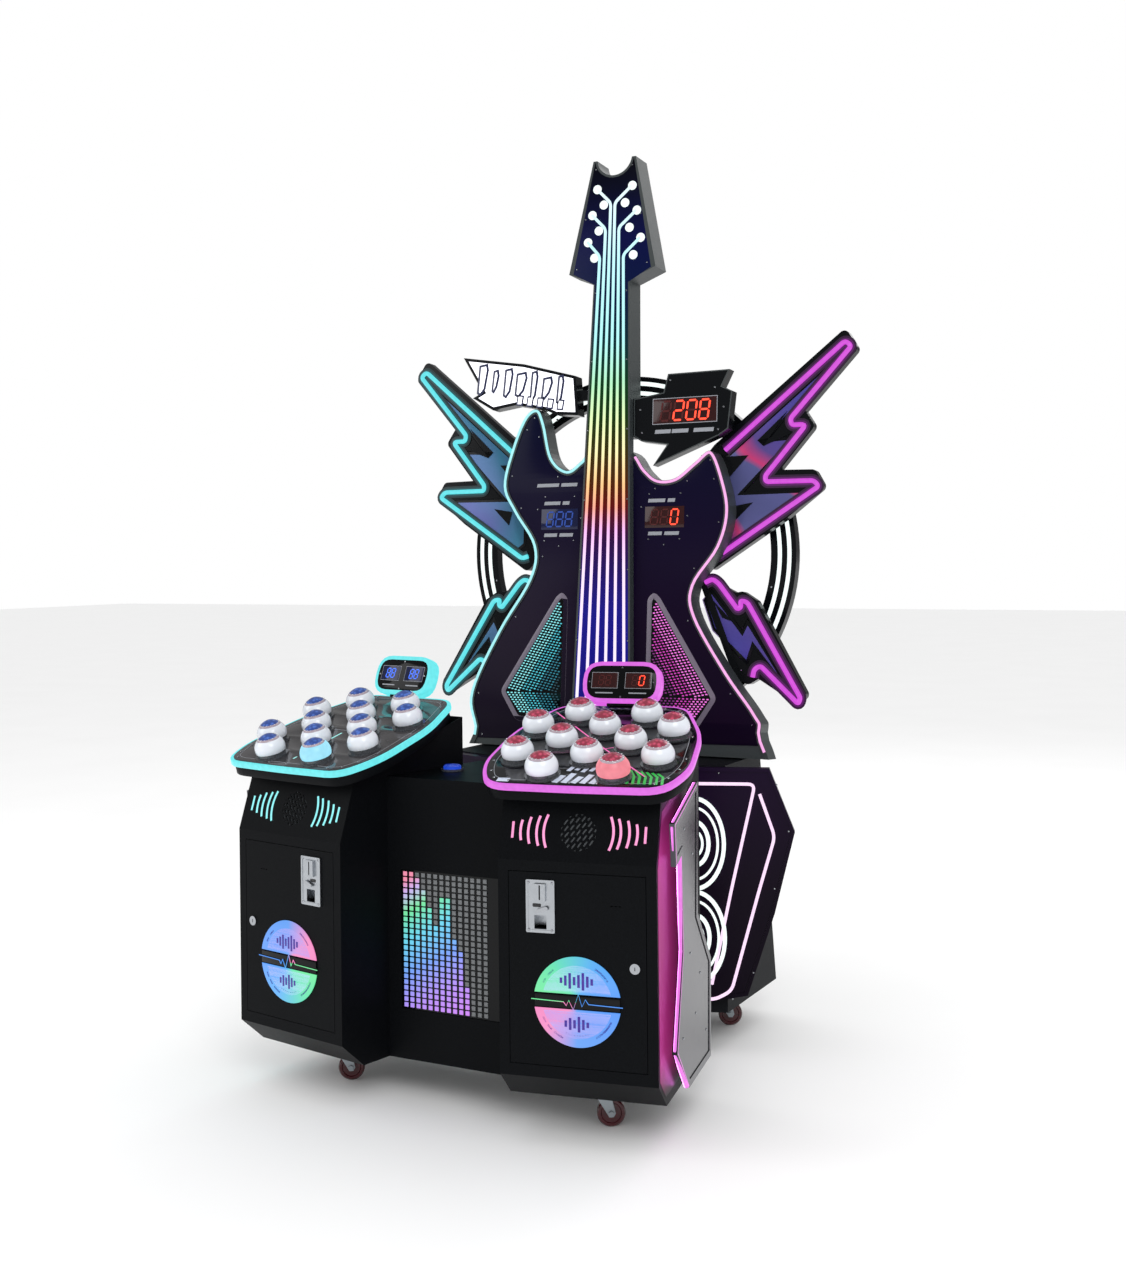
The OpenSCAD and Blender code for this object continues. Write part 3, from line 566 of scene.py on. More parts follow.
def cad_finishes():
    """The CAD pieces whose shape is already right get their finishes."""
    for side in SIDES:
        for node, finish in (("console_shell_", coat_black), ("door_", coat_black),
                             ("coin_unit_", zinc_satin), ("return_lever_", screw_chrome),
                             ("door_lock_", screw_chrome),
                             ("caster_fork_front_", zinc_fork), ("caster_fork_rear_", zinc_fork),
                             ("caster_wheel_front_", wheel_pu), ("caster_wheel_rear_", wheel_pu)):
            painted(nodes[node + side], finish)
    for node, finish in (("button_housings", clear_collar), ("side_panels", mirror_grey),
                         ("middle_cabinet", coat_black), ("base_cabinet", coat_panel),
                         ("link_frame", coat_frame), ("inner_units", inner_grey),
                         ("halo_ring", board_black), ("boards", board_black),
                         ("matrix_panel", gloss_black)):
        painted(nodes[node], finish)


# ---------------------------------------------------------------- small repeated parts
def screw(radius=3.2):
    """A pan-head screw, its head standing on z = 0."""
    return painted(spun([(0, -1), (radius, -1), (radius, 0.6), (radius * 0.72, 1.7), (radius * 0.34, 1.8),
                         (radius * 0.28, 1.0), (0, 1.0)], 12), screw_chrome)


def screws(name, places, where, body, radius=3.2):
    return placed(repeated(screw(radius), places), name, where, body)


def facing(x, y, z):
    """The place of something that stands out of an upright face."""
    return moved(x, y, z) @ UPRIGHT


SEGMENTS = {"0": "abcdef", "1": "bc", "2": "abged", "3": "abgcd", "4": "fgbc", "5": "afgcd", "6": "afgedc",
            "7": "abc", "8": "abcdefg", "9": "abcdfg", " ": ""}


def digits(text, height, lit, unlit, depth=0.8):
    """Seven-segment digits centred on the origin, leaning a little, facing +z."""
    width, bar, pitch = height * 0.5, height * 0.1, height * 0.72
    half, quarter = height / 2, height / 4
    spots = {"a": (0, half, 0), "g": (0, 0, 0), "d": (0, -half, 0), "f": (-width / 2, quarter, 90),
             "b": (width / 2, quarter, 90), "e": (-width / 2, -quarter, 90), "c": (width / 2, -quarter, 90)}
    long = {0: width / 2 - bar * 0.35, 90: quarter - bar * 0.35}
    slant = Matrix(((1, 0.12, 0, 0), (0, 1, 0, 0), (0, 0, 1, 0), (0, 0, 0, 1)))
    parts = []
    for wanted, finish in ((True, lit), (False, unlit)):
        for turn in (0, 90):
            places = [slant @ moved(x + (i - (len(text) - 1) / 2) * pitch, y, depth) @ turned("Z", angle)
                      for i, sign in enumerate(text) for key, (x, y, angle) in spots.items()
                      if angle == turn and (key in SEGMENTS[sign]) == wanted]
            if places:
                reach, tip = long[turn], bar / 2
                shape = flat_cut([(-reach, 0), (-reach + tip, tip), (reach - tip, tip), (reach, 0),
                                  (reach - tip, -tip), (-reach + tip, -tip)], depth)
                parts.append(painted(repeated(shape, places), finish))
    return joined(*parts)


# ---------------------------------------------------------------- consoles
def door_emblem(side, s):
    """A lit disc on the door, parted by a dark band with a pulse line across it."""
    halves = []
    for start in (0, 180):
        for radius, count, gap, thick, edge, finish in ((EMBLEM_R, 40, 17, 3, 0.6, emblem_rim),
                                                        (EMBLEM_FACE_R, 36, 21, 3.4, 0.3, emblem_face)):
            angle = math.degrees(math.asin(gap / radius))
            arc = circle(radius, count, 0, 0, start + angle, 180 - 2 * angle)
            halves.append(sheet(arc, thick, finish, edge))
    ring_marks = []
    for start, sweep in ((35, 26), (128, 12), (146, 8), (205, 9), (218, 9), (232, 16), (300, 34)):
        outer, inner = circle(88, 8, 0, 0, start, sweep), circle(84, 8, 0, 0, start, sweep)
        ring_marks.append(flat_cut(outer + inner[::-1], 3.6))
    dots = repeated(flat_cut(circle(1.6, 8), 3.6), [moved(*p, 0) for p in circle(73, 9, 0, 0, 250, 40)])
    bars = [block((x - 3, y - h / 2, 3.2), (x + 3, y + h / 2, 3.9), 0.3)
            for y, heights in ((47, (12, 22, 34, 18, 28, 38, 24, 14)), (-47, (14, 26, 18, 34, 22, 12)))
            for x, h in zip([(i - (len(heights) - 1) / 2) * 10 for i in range(len(heights))], heights)]
    marks = painted(joined(*ring_marks, dots, *bars), emblem_ink)
    band = sheet(oblong(-97, -14, 97, 14), 2.4, gloss_black, 0.4)
    beat = [(-104, 2), (-30, 0), (-24, -8), (-18, 4), (-8, -16), (4, 18), (12, -8), (20, 8), (27, -2),
            (104, -4)]
    pulse = painted(light_tube([(x, y, 2.6) for x, y in beat], 1.1, sides=1), emblem_rim)
    placed(joined(*halves, marks, band, pulse), f"door_emblem_{side}", emblem_place(s) @ moved(0, 0, 3.4),
           f"door_{side}")


def emblem_place(s):
    """The emblem is printed the same way round on both doors."""
    return console_frame(s) @ moved(0, 0, EMBLEM_Z) @ UPRIGHT @ flipped(s)


def emblem_light(name, tints):
    """Back-lit acrylic: the colours run round the disc as its ring of diodes does, upside down on
    the left."""
    finish, tree, place = new_finish(name)
    centre = console_frame(1) @ Vector((0, 0, EMBLEM_Z))
    spot = add(tree, "ShaderNodeVectorMath", {0: place}, operation="ABSOLUTE")
    local = add(tree, "ShaderNodeVectorMath", {0: spot.outputs[0], 1: centre * MM}, operation="SUBTRACT")
    parts = axes(tree, local.outputs[0])
    rise = maths(tree, "MULTIPLY", parts["Z"], maths(tree, "SIGN", axes(tree, place)["X"]))
    angle = maths(tree, "ARCTAN2", rise, parts["X"])
    shade = tinted(tree, ranged(tree, angle, from_min=-math.pi, from_max=math.pi), tints)
    surfaced(tree, {"Base Color": colour("#3a3c44"), "Roughness": 0.15, "Emission Color": shade,
                    "Emission Strength": 1.0})
    return finish


emblem_rim = emblem_light("emblem_rim_light", ((0.0, "#f07ab8"), (0.12, "#f08ac0"), (0.25, "#5a9cf0"),
                                               (0.5, "#3a8cf0"), (0.68, "#4aa8f0"), (0.85, "#5ae0a8"),
                                               (1.0, "#6ae890")))
emblem_face = emblem_light("emblem_face_light", ((0.0, "#c8a0e8"), (0.3, "#a8a8f0"), (0.6, "#9fb4f8"),
                                                 (0.85, "#a8e0e8"), (1.0, "#b0d8f0")))
emblem_ink = plastic("purple_emblem_ink", "#3c2490", 0.25, 300)


def sound_bars(side, s):
    """Five lit bars on each side of the loudspeaker, set in the leaned panel and bowed round it."""
    parts = []
    for way in (-1, 1):
        for x, height, bow in ((72, 73, 8), (90, 66, 6.5), (111, 59, 5), (131, 45, 3), (152, 36, 0)):
            points = [(way * (x + bow - bow * (t * 2) ** 2), 1.2, 66 + height * t)
                      for t in [i / 10 - 0.5 for i in range(11)]]
            parts.append(light_tube(points, 3.2))
    lights = painted(joined(*parts), bar_light[side])
    panel = console_frame(s) @ moved(0, 0, CREASE_Z) @ turned("X", -PANEL_LEAN)
    placed(lights, f"sound_bars_{side}", panel, "root")
    placed(sheet(circle(46, 40), 1.2, inner_grey), f"speaker_cloth_{side}",
           panel @ moved(0, 4.4, 66) @ UPRIGHT, "root")


def deck_outline():
    half = DECK_HALF
    corners = [(-204, 0), (0, -4), (204, 0), (half + 3, 110), (half - 12, 300), (158, DECK_LEN),
               (-158, DECK_LEN), (12 - half, 300), (-half - 3, 110)]
    return rounded(corners, 52)


def deck_finish(side):
    """Glossy printed acrylic, smoke grey on the left deck and near black on the right one."""
    finish, tree, place = new_finish(f"deck_print_{side}")
    tints = {"left": ((0.35, "#302f31"), (0.7, "#464446")), "right": ((0.4, "#050508"), (0.75, "#141319"))}
    surfaced(tree, {"Base Color": tinted(tree, noise(tree, place, 9, 4), tints[side]), "Roughness": 0.12,
                    "Specular IOR Level": 0.3, "Coat Weight": 0.1, "Coat Roughness": 0.03},
             (noise(tree, place, 6), 0.0006))
    return finish


def deck_pieces(side, s):
    """The lit edge, the printed top, the core and the black tray stand for the CAD deck."""
    outline, where = deck_outline(), deck_frame(s)
    wells = [circle(HOUSING_R + 0.4, 24, *p) for p in DOMES]
    for name, ring, thick, finish, edge, holes, z in (
            ("tray", inset(outline, SKIRT_IN), DECK_SKIRT, coat_black, 2, wells, -DECK_TOP),
            ("edge_light", outline, DECK_TOP - 0.4, edge_light[side], 3.5, [inset(outline, 9)], -0.4),
            ("print", inset(outline, 9), 4, deck_finish(side), 0.6, wells, 0),
            ("core", inset(outline, 9.2), DECK_TOP - 4, board_black, 0, wells, -4)):
        body = placed(sheet(ring, thick, finish, edge, holes), f"deck_{name}_{side}", where @ moved(0, 0, z),
                      "root")
    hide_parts(f"deck_{side}")
    spots = inset(outline, 20)[2::3]
    screws(f"deck_screws_{side}", [moved(x, y, 0.2) for x, y in spots], where, "root", 3.4)
    for name, marks, finish in deck_marks(side):
        placed(painted(joined(*marks), finish), f"deck_{name}_{side}", where @ moved(0, 0, 0.35), "root")


def stroke(points, width, thick=0.5):
    """A flat stroke of even width along points in a plane."""
    left, right = [], []
    for i, p in enumerate(points):
        a, b = Vector(points[max(i - 1, 0)]), Vector(points[min(i + 1, len(points) - 1)])
        n = (b - a).normalized()
        n = Vector((-n.y, n.x)) * width / 2
        left.append(tuple(Vector(p) + n))
        right.append(tuple(Vector(p) - n))
    return flat_cut(left + right[::-1], thick)


def deck_marks(side):
    """Printed and lit marks on the deck: plain lines, stripes and blocks."""
    inner = inset(deck_outline(), 26)
    border = stroke(inner + inner[:1], 1.2)
    if side == "left":
        dashes = [stroke([(0, a), (0, b)], 5)
                  for a, b in ((48, 60), (75, 118), (135, 215), (235, 290), (310, 330))]
        cross = [stroke([(a, z), (b, z)], width)
                 for a, b, z, width in ((-62, 62, 232, 1.6), (-200, -120, 152, 1.2), (120, 200, 152, 1.2))]
        return (("lit_line", dashes, lit_mark["left"]), ("thin_lines", [border, *cross], caption_grey))
    lines = [stroke([(150, 60), (20, 205), (-160, 420)], 3.2),
             stroke([(-190, 150), (20, 205), (210, 290)], 1.6)]
    corner = [stroke(circle(r, 10, -150, 210, 120, 100), 4) for r in (48, 62)]
    stripes = [stroke([(118 + i * 13, 22), (112 + i * 13, 60), (96 + i * 13, 96 - 3 * i)], 6)
               for i in range(7)]
    blocks = [stroke([(-44 + i * 21, 16), (-34 + i * 21, 16 + h)], 14)
              for i, h in enumerate((38, 50, 34, 46, 40))]
    blocks += [stroke([(-30 + i * 17, 78 + h), (-24 + i * 17, 100)], 10) for i, h in enumerate((0, 5, -4, 2))]
    blocks += [stroke([(-178, 22), (-150, 22)], 18)]
    return (("crossed_lines", lines, lit_mark["right"]), ("corner_arcs", corner, lit_mark["left"]),
            ("green_stripes", stripes, green_mark), ("pale_blocks", blocks, pale_mark),
            ("thin_lines", [border], caption_grey))


lit_mark = lit_pair(("cyan_lit_line", "#a8f8f4", 0.9), ("rose_lit_line", "#ff6fc0", 0.9))
green_mark = plastic("green_print", "#2fb34a", 0.2, 300)
pale_mark = plastic("pale_print", "#c9d2e6", 0.2, 300)


# Where a dome is widest, how far it runs in below, and the angles at which its shell and shoulder end
BELLY_Z, BELLY_DROP, BELLY_POWER, CROWN_POWER = 22, 29, 0.75, 1.22
SHELL_END, EYE_START = 38, 48


def dome_point(angle):
    rise, power = (BELLY_DROP, BELLY_POWER) if angle < 0 else (DOME_H - BELLY_Z, CROWN_POWER)
    turn = math.radians(angle)
    return DOME_R * math.cos(turn) ** power, BELLY_Z + rise * math.sin(turn)


def dome_button(side, lit):
    """A push dome: a milky shell, a glossy shoulder with fine white spokes that are partly painted
    highlights, and a coloured crown.
    """
    lip_r, lip_z = dome_point(SHELL_END)
    eye_r, eye_z = dome_point(EYE_START)
    inner_r = DOME_R - 2.2
    ring = painted(spun([(0, 30), (DOME_R - 5, 30), (inner_r, BELLY_Z), (inner_r, RIM_Z),
                         *map(dome_point, range(-20, SHELL_END, 3)), (lip_r, lip_z),
                         (lip_r - 3, lip_z - 1), (0, lip_z - 1)], 48), dome_lit[side] if lit else dome_white)
    stem = painted(spun([(0, -STEM_L), (STEM_R, -STEM_L), (STEM_R, 30.5), (0, 30.5)], 16), inner_grey)
    shoulder = painted(spun([(0, lip_z - 1.2), (lip_r - 2.4, lip_z - 1.2), (lip_r - 1, lip_z + 0.2),
                             dome_point(41), dome_point(45), (eye_r - 0.6, eye_z - 0.4),
                             (0, eye_z - 0.4)], 40), shoulder_grey)
    eye = painted(spun([(0, eye_z - 0.6), (eye_r - 0.8, eye_z - 0.6),
                        *map(dome_point, range(EYE_START + 1, 88, 4)), (0, DOME_H)], 40), iris[side])
    # White spokes round the crown's edge: marks on the shoulder that also serve as painted highlights dotted
    # there
    glint_spoke = block((eye_r - 1.5, -0.7, eye_z - 0.6), (lip_r - 1.6, 0.7, eye_z + 0.3), 0.2)
    glint_spokes = painted(repeated(glint_spoke, [turned("Z", 24 * i) for i in range(15)]), dome_white)
    return joined(ring, stem, shoulder, eye, glint_spokes)


# The dome that is lit on each side, counted from 0
LIT_DOME = {"left": 0, "right": 1}


def dome_buttons(side, s):
    for n, (x, y) in enumerate(DOMES):
        piece = dome_button(side, lit=n == LIT_DOME[side])
        placed(piece, f"dome_button_{side}_{n + 1}", deck_frame(s) @ moved(x, y, 0), f"dome_{side}_{n + 1}",
               50)
        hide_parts(f"dome_{side}_{n + 1}")


def number_finishes(side):
    """A lit digit, an unlit one and the window behind them."""
    if side == "left":
        return digit_blue, digit_blue_off, window_blue
    return digit_red, digit_red_off, window_red


def display_pod(side, s):
    """A lit acrylic frame round a black face with two small displays."""
    where = pod_frame(s)
    shape = rounded(oblong(-POD_W / 2, -POD_H / 2, POD_W / 2, POD_H / 2), 48)
    lit, unlit, glass = number_finishes(side)
    parts = [sheet(shape, POD_T, edge_light[side], 3),
             shifted(sheet(inset(shape, 11), 2, gloss_black, 0.5), 0, 0, 0.6)]
    for x, text in zip((-42, 42), ("88", "88") if side == "left" else ("  ", " 0")):
        parts += [shifted(sheet(oblong(-33, -16, 33, 24), 0.8, caption_grey), x, 0, 0.9),
                  shifted(sheet(rounded(oblong(-32, -15, 32, 23), 2), 1, glass, 0.2), x, 0, 1.2),
                  shifted(digits(text, 24, lit, unlit), x, 4, 1.0),
                  shifted(sheet(oblong(-22, -29, 22, -26), 0.4, caption_grey), x, 0, 1.0)]
    fixings = repeated(screw(2.6), [moved(x, y, 0.9) for x, y in ((0, 36), (0, -37), (-80, 0), (80, 0))])
    foot = painted(block((-35, -POD_H / 2 - 6, -30), (35, -POD_H / 2 + 8, -6), 2), board_black)
    piece = placed(joined(*parts, fixings, foot), f"display_pod_{side}", where @ UPRIGHT @ flipped(s), "root")
    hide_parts("display_pods")


def side_lights(side, s):
    """Light strips along the front edge of the mirror panel beside a console, and the glow they throw
    on the shell, drawn as a thin sheet on it."""
    x = CON_W / 2 + SIDE_GAP + SIDE_T / 2
    bracket = [(x, y, z) for y, z in ((278, 770), (55, 714), (66, 626))]
    strip = [(x, y, z) for y, z in ((113, 636), (125, 423), (58, 218), (164, 111))]
    tubes = joined(light_tube(bracket, 6.4, bend=6), light_tube(strip, 6.4, bend=6))
    placed(painted(tubes, side_light[side]), f"side_lights_{side}", console_frame(s), "root")
    wash = flat_cut([(60, 118), (10, 166), (10, 624), (52, 742), (300, 800), (300, 118)], 0.8)
    where = console_frame(s) @ moved(CON_W / 2 + 0.7, 0, 0) @ turned("Z", 90) @ UPRIGHT
    placed(painted(wash, wash_light[side]), f"side_painted_glow_{side}", where, "root")
    spots = ((150, 690), (230, 620), (200, 400), (250, 250), (120, 230), (360, 180), (300, 330))
    screws(f"side_screws_{side}", [moved(x + SIDE_T / 2 - 1.8, y, z) @ turned("Y", 90) for y, z in spots],
           console_frame(s), "root")


def coin_details(side, s):
    """The coin plate's screws and the small window beside its entry."""
    where = console_frame(s) @ moved(COIN_X, 0, COIN_Z)
    fixings = [facing(x, -3.6, z) for x in (-27, 27) for z in (-52, 52)]
    screws(f"coin_plate_screws_{side}", fixings, where, f"door_{side}", 3)
    window = sheet(rounded(oblong(-10, 0, 10, 8), 3), 1.5, smoke_clear, 0.3)
    placed(window, f"coin_window_{side}", where @ moved(-8, -3.2, -2) @ UPRIGHT, f"door_{side}")


# ---------------------------------------------------------------- middle and base cabinets
ROWS, COLUMN_PITCH, PIXEL_PITCH = 24, 17.2, 13.7
BARS = (24, 24, 23, 21, 18, 15, 20, 20, 13, 11, 5, 0, 0, 0)


def pixel_panel():
    """A panel of square pixels in the middle cabinet's opening, showing rising and falling bars."""
    lit, unlit = [], []
    for column, bar in enumerate(BARS):
        for row in range(ROWS):
            place = moved(-136 + column * COLUMN_PITCH, MID_Y + 1.4, MATRIX_Z + 10 + row * PIXEL_PITCH)
            (lit if row < bar else unlit).append(place)
    tile = block((-5.4, -1.2, -5.2), (5.4, 1.2, 5.2), 0.8, 1)
    spare = twin(tile)
    for piece, places, finish, name in ((tile, lit, pixel_light, "pixels_lit"),
                                        (spare, unlit, pixel_off, "pixels_unlit")):
        placed(painted(repeated(piece, places), finish), name, GROUND, "root")


def pixel_colours():
    """Diffused pixels: violet and pink at the foot, blue and cyan above, green, lilac and pink
    towards the tips."""
    finish, tree, place = new_finish("lit_pixels")
    parts = axes(tree, place)
    skew = maths(tree, "MULTIPLY_ADD", parts["X"], -0.55, parts["Z"])
    shade = tinted(tree, ranged(tree, skew, from_min=0.16, from_max=0.60),
                   ((0.0, "#d77af0"), (0.28, "#b48af5"), (0.48, "#6f9cf5"), (0.66, "#63d3ee"),
                    (0.82, "#6fe59a"), (0.93, "#c8b0f0"), (1.0, "#f08aa8")))
    surfaced(tree, {"Base Color": colour("#303236"), "Roughness": 0.3, "Emission Color": shade,
                    "Emission Strength": 1.0})
    return finish


pixel_light = pixel_colours()
pixel_off = plastic("unlit_pixel", "#6e7173", 0.35, 300)


def start_buttons():
    """Lit push buttons on the middle cabinet, each with a clear cap."""
    for side, s in SIDES.items():
        cap = spun([(0, 10.5), (START_R - 1, 10.5), (START_R - 0.4, 12), (START_R - 4, 15), (0, 17)], 32)
        placed(painted(cap, lens_clear), f"start_lens_{side}", moved(s * START_X, MID_Y + START_Y, MID_Z),
               f"start_button_{side}")
        painted(nodes[f"start_button_{side}"], lit_start[side])


lit_start = {"left": lit_silicone("start_blue_lit", "#1a44c8", 0.7, "#183aa0"),
             "right": lit_silicone("start_red_lit", "#ff2020", 0.8, "#e02020")}


def speaker_lights(side, s):
    """Lit lines and rings on the coffin-shaped speaker panel."""
    where = speaker_frame(s)
    inner = [(-100, 702), (214, 702), (200, 640), (150, 425), (97, 178)]
    outer = [(226, 676), (264, 566), (222, 425), (148, 162), (104, 138), (-30, 146)]
    lines = [light_tube([(x, -2.5, z) for x, z in path], 4.2, bend=18) for path in (inner, outer)]
    tone = rose_white if side == "right" else body_light["left"]
    placed(painted(joined(*lines), tone), f"speaker_lines_{side}", where, "root")
    rings = []
    for centre in (545, 300):
        for r, thick in ((78, 5.5), (62, 3.4), (38, 5.5), (22, 3.4)):
            ring = [(54 + x, -2.2, centre + z * 1.52) for x, z in circle(r, 48)]
            rings.append(light_tube(ring, thick, closed=True))
    placed(painted(joined(*rings), white_light), f"speaker_rings_{side}", where, "root")
    spots = ((270, 700), (300, 580), (262, 430), (205, 210), (150, 140), (40, 128), (-60, 730), (120, 730))
    screws(f"speaker_screws_{side}", [facing(x, 1.4, z) for x, z in spots], where, "root", 2.6)


# ---------------------------------------------------------------- guitar
def smooth_ring(points, steps):
    """A smooth closed curve through a ring of points, as the body's outline is cut."""
    curve, count = [], len(points)
    for i in range(count):
        a, b, c, d = (Vector(points[(i + k) % count]) for k in (-1, 0, 1, 2))
        for step in range(steps):
            t = step / steps
            curve.append(tuple(0.5 * (2 * b + (c - a) * t + (2 * a - 5 * b + 4 * c - d) * t * t
                                      + (3 * b - a - 3 * c + d) * t ** 3)))
    return curve


BODY = smooth_ring([(-380, 665), (-425, 800), (-440, 905), (-352, 1085), (-255, 1235), (-243, 1330),
                    (-310, 1430), (-350, 1510), (-325, 1620), (-285, 1712), (-243, 1735), (-218, 1690),
                    (-190, 1590), (-139, 1550), (-95, 1575), (-60, 1600), (60, 1600), (110, 1545),
                    (150, 1515), (205, 1518), (262, 1560), (310, 1590), (345, 1520), (366, 1420),
                    (340, 1320), (268, 1215), (275, 1130), (370, 980), (455, 870), (470, 820), (425, 665)], 6)
BODY_FOOT = 752
RECESS, RECESS_IN = 4, 14


def guitar_body():
    """The printed face set in the body's rim, the light tube round it and its screws."""
    rim = [p for p in BODY if p[1] > BODY_FOOT]
    face = inset(rim, RECESS_IN + 1)
    placed(sheet(face, 2.2, body_print, 0.4), "guitar_face", LEAN @ moved(0, RECESS - 2.0, 0) @ UPRIGHT,
           "root")
    painted(nodes["guitar_body"], core_edge)
    for side, s in SIDES.items():
        edge = [p for p in inset(BODY, 5) if p[0] * s > 72 and p[1] > BODY_FOOT + 8]
        start = max(range(len(edge)), key=lambda i: (Vector(edge[i]) - Vector(edge[i - 1])).length)
        edge = edge[start:] + edge[:start]
        tube = painted(light_tube(upright_path(edge, -1.5), 3.7), body_light[side])
        placed(tube, f"guitar_edge_light_{side}", LEAN, "root")
    marks = inset(rim, 26)
    spots = [facing(x, RECESS - 2.0, z) for x, z in marks[::8] if abs(x) > 110]
    screws("guitar_body_screws", spots, LEAN, "root", 2.8)


def guitar_windows(side, s):
    """A sunk window whose rows of diodes echo its outer edges, inside a grey trim."""
    corners = ((126, 1180), (145, 1198), (163, 1186), (342, 907), (286, 822), (126, 822))
    trim_line = rounded([(s * x, z) for x, z in corners], 16)
    face_y = RECESS - 2.2
    for name, part in (("trim", sheet(trim_line, 2.4, frame_grey, 0.6, [inset(trim_line, 15)])),
                       ("pane", sheet(inset(trim_line, 14.5), 0.8, gloss_black))):
        placed(part, f"window_{name}_{side}", LEAN @ moved(0, face_y, 0) @ UPRIGHT, "root")
    diode = block((-3.0, -0.5, -1.7), (3.0, 0.3, 1.7), 0)
    pitch, groups = 8.6, [[], [], [], []]
    for row in range(17):
        shift = 20 + row * 10
        path = [(s * (163 - shift * 0.55), 1186 - shift * 0.9), (s * (342 - shift * 1.22), 907),
                (s * (286 - shift * 1.1), 822 + 18)]
        for (x1, z1), (x2, z2) in zip(path, path[1:]):
            reach = math.hypot(x2 - x1, z2 - z1)
            for k in range(int(reach / pitch)):
                t = (k + 0.5) * pitch / reach
                x, z = x1 + (x2 - x1) * t, z1 + (z2 - z1) * t
                if abs(x) > 145 and z > 842:
                    groups[min(3, row // 4)].append(moved(x, face_y - 0.8, z))
    for k, places in enumerate(groups):
        placed(painted(repeated(twin(diode), places), diode_light[side][k]), f"window_diodes_{side}_{k + 1}",
               LEAN, "root", 0)
    bpy.data.objects.remove(diode)


def tint_steps(name, tints, ground):
    """Lit finishes from bright to dark, numbered from 0."""
    return [lit_silicone(f"{name}_{k}", tint, 1.0, ground) for k, tint in enumerate(tints)]


diode_light = {"left": tint_steps("cyan_diode", ("#8ff6fa", "#48c8d8", "#1f7c90", "#123f4c"), "#202428"),
               "right": tint_steps("magenta_diode", ("#ff7aec", "#d038b8", "#7c1a78", "#3c0f3c"), "#202428")}
body_print = printed_panel("midnight_print", 0.75, 1.75, ((0.0, "#0e0518"), (0.35, "#140620"),
                                                          (0.6, "#100724"), (1.0, "#050a26")))
NECK_TINTS = ((0.0, "#19148a"), (0.2, "#1a1484"), (0.27, "#200c5c"), (0.33, "#300a3c"), (0.385, "#5c0d0a"),
              (0.43, "#472407"), (0.48, "#342d09"), (0.54, "#12320c"), (0.6, "#09361a"), (0.66, "#072c30"),
              (0.74, "#051436"), (0.86, "#060a3c"), (0.95, "#04061c"), (1.0, "#030308"))
STRING_TINTS = ((0.0, "#f1e9ff"), (0.28, "#f6dcff"), (0.34, "#f2b4ee"), (0.38, "#f0a088"), (0.42, "#f5c080"),
                (0.48, "#f5ecb0"), (0.54, "#d8f0b0"), (0.6, "#a8e4b8"), (0.68, "#a8ecec"), (0.82, "#b8f0f5"),
                (1.0, "#eef8ff"))


def string_place(i, z):
    """Across the neck, where a string is at a height: they draw together a little upwards."""
    pitch = 28.4 - (z - 1000) * 0.01145
    return (i - 2.5) * pitch


def guitar_neck():
    """The neck's printed strip, six lit strings and the tuning dots of the headstock."""
    painted(nodes["guitar_neck"], core_edge)
    foot, top, head = NECK_FOOT, 2090, 2450
    notch = circle(63, 13, 0, head + 8, 190, 160)
    face = [(-86, foot + 8), (86, foot + 8), (53, top - 6), (124, 2121), (64, head - 12), *reversed(notch),
            (-64, head - 12), (-124, 2121), (-53, top - 6)]
    placed(sheet(face, 2.2, neck_print, 0.4), "neck_face", LEAN @ moved(0, -NECK_OUT - 0.3, 0) @ UPRIGHT,
           "root")
    y = -NECK_OUT - 4
    ends = ((-78, 2211), (-66, 2290), (-52, 2365), (60, 2364), (76, 2290), (90, 2209))
    tubes, dots = [], []
    for i, (x, z) in enumerate(ends):
        below = z - 70
        points = [(string_place(i, foot + 12), y, foot + 12), (string_place(i, below), y, below),
                  (string_place(i, below) * 0.98, y, z - 45), (x, y, z)]
        tubes.append(light_tube(points, 4.3, bend=26, sides=2))
        dots.append((x, z))
    placed(painted(joined(*tubes), string_light), "neck_strings", LEAN, "root")
    dots += [(x + (22 if x < 0 else -22), z - 48) for x, z in dots]
    dot = spun([(0, -2), (13, -2), (13, 2), (11, 4), (0, 4.6)], 24)
    placed(painted(repeated(dot, [facing(x, y + 3, z) for x, z in dots]), white_light), "tuning_dots", LEAN,
           "root")
    spots = [facing(s * x, -NECK_OUT - 0.3, z) for s in (-1, 1)
             for x, z in ((58, 2425), (112, 2135), (88, 2280), (49, 2060), (55, 1860), (62, 1660), (68, 1460),
                          (75, 1260), (80, 1060), (84, 880))]
    screws("neck_screws", spots, LEAN, "root", 2.6)


neck_print = printed_panel("neck_print", 0.82, 2.44, NECK_TINTS)
string_light = lit_by_height("string_light", 0.82, 2.44, 1.15, STRING_TINTS)


def player_display(side):
    """A three-digit display sunk in the guitar's face, with a printed mark above and below."""
    lit, unlit, glass = number_finishes(side)
    text, lit = ("888", digit_blue_off) if side == "left" else ("  0", lit)
    parts = [sheet(oblong(-60, -30, 60, 30), 1, glass, 0.2), shifted(digits(text, 42, lit, unlit), 0, 0, 0.1)]
    marks = [(-52, 0, 47), (8, 30, 47), (-50, -8, -46), (0, 44, -46)]
    if side == "left":
        marks += [(-78, -6, 100), (2, 54, 100)]
    for a, b, y in marks:
        parts.append(sheet([(a, y - 5), (b, y - 5), (b + 2, y + 5), (a + 2, y + 5)], 0.5, caption_grey))
    fixings = [(-48, 66), (48, 66), (-72, 30), (70, 2), (-48, -62), (48, -62), (0, -78)]
    parts.append(repeated(screw(2.6), [moved(px, pz, -0.6) for px, pz in fixings]))
    x = {"left": -160, "right": 173}[side]
    placed(joined(*parts), f"player_display_{side}", LEAN @ moved(x, RECESS - 2.7, 1409) @ UPRIGHT, "root")


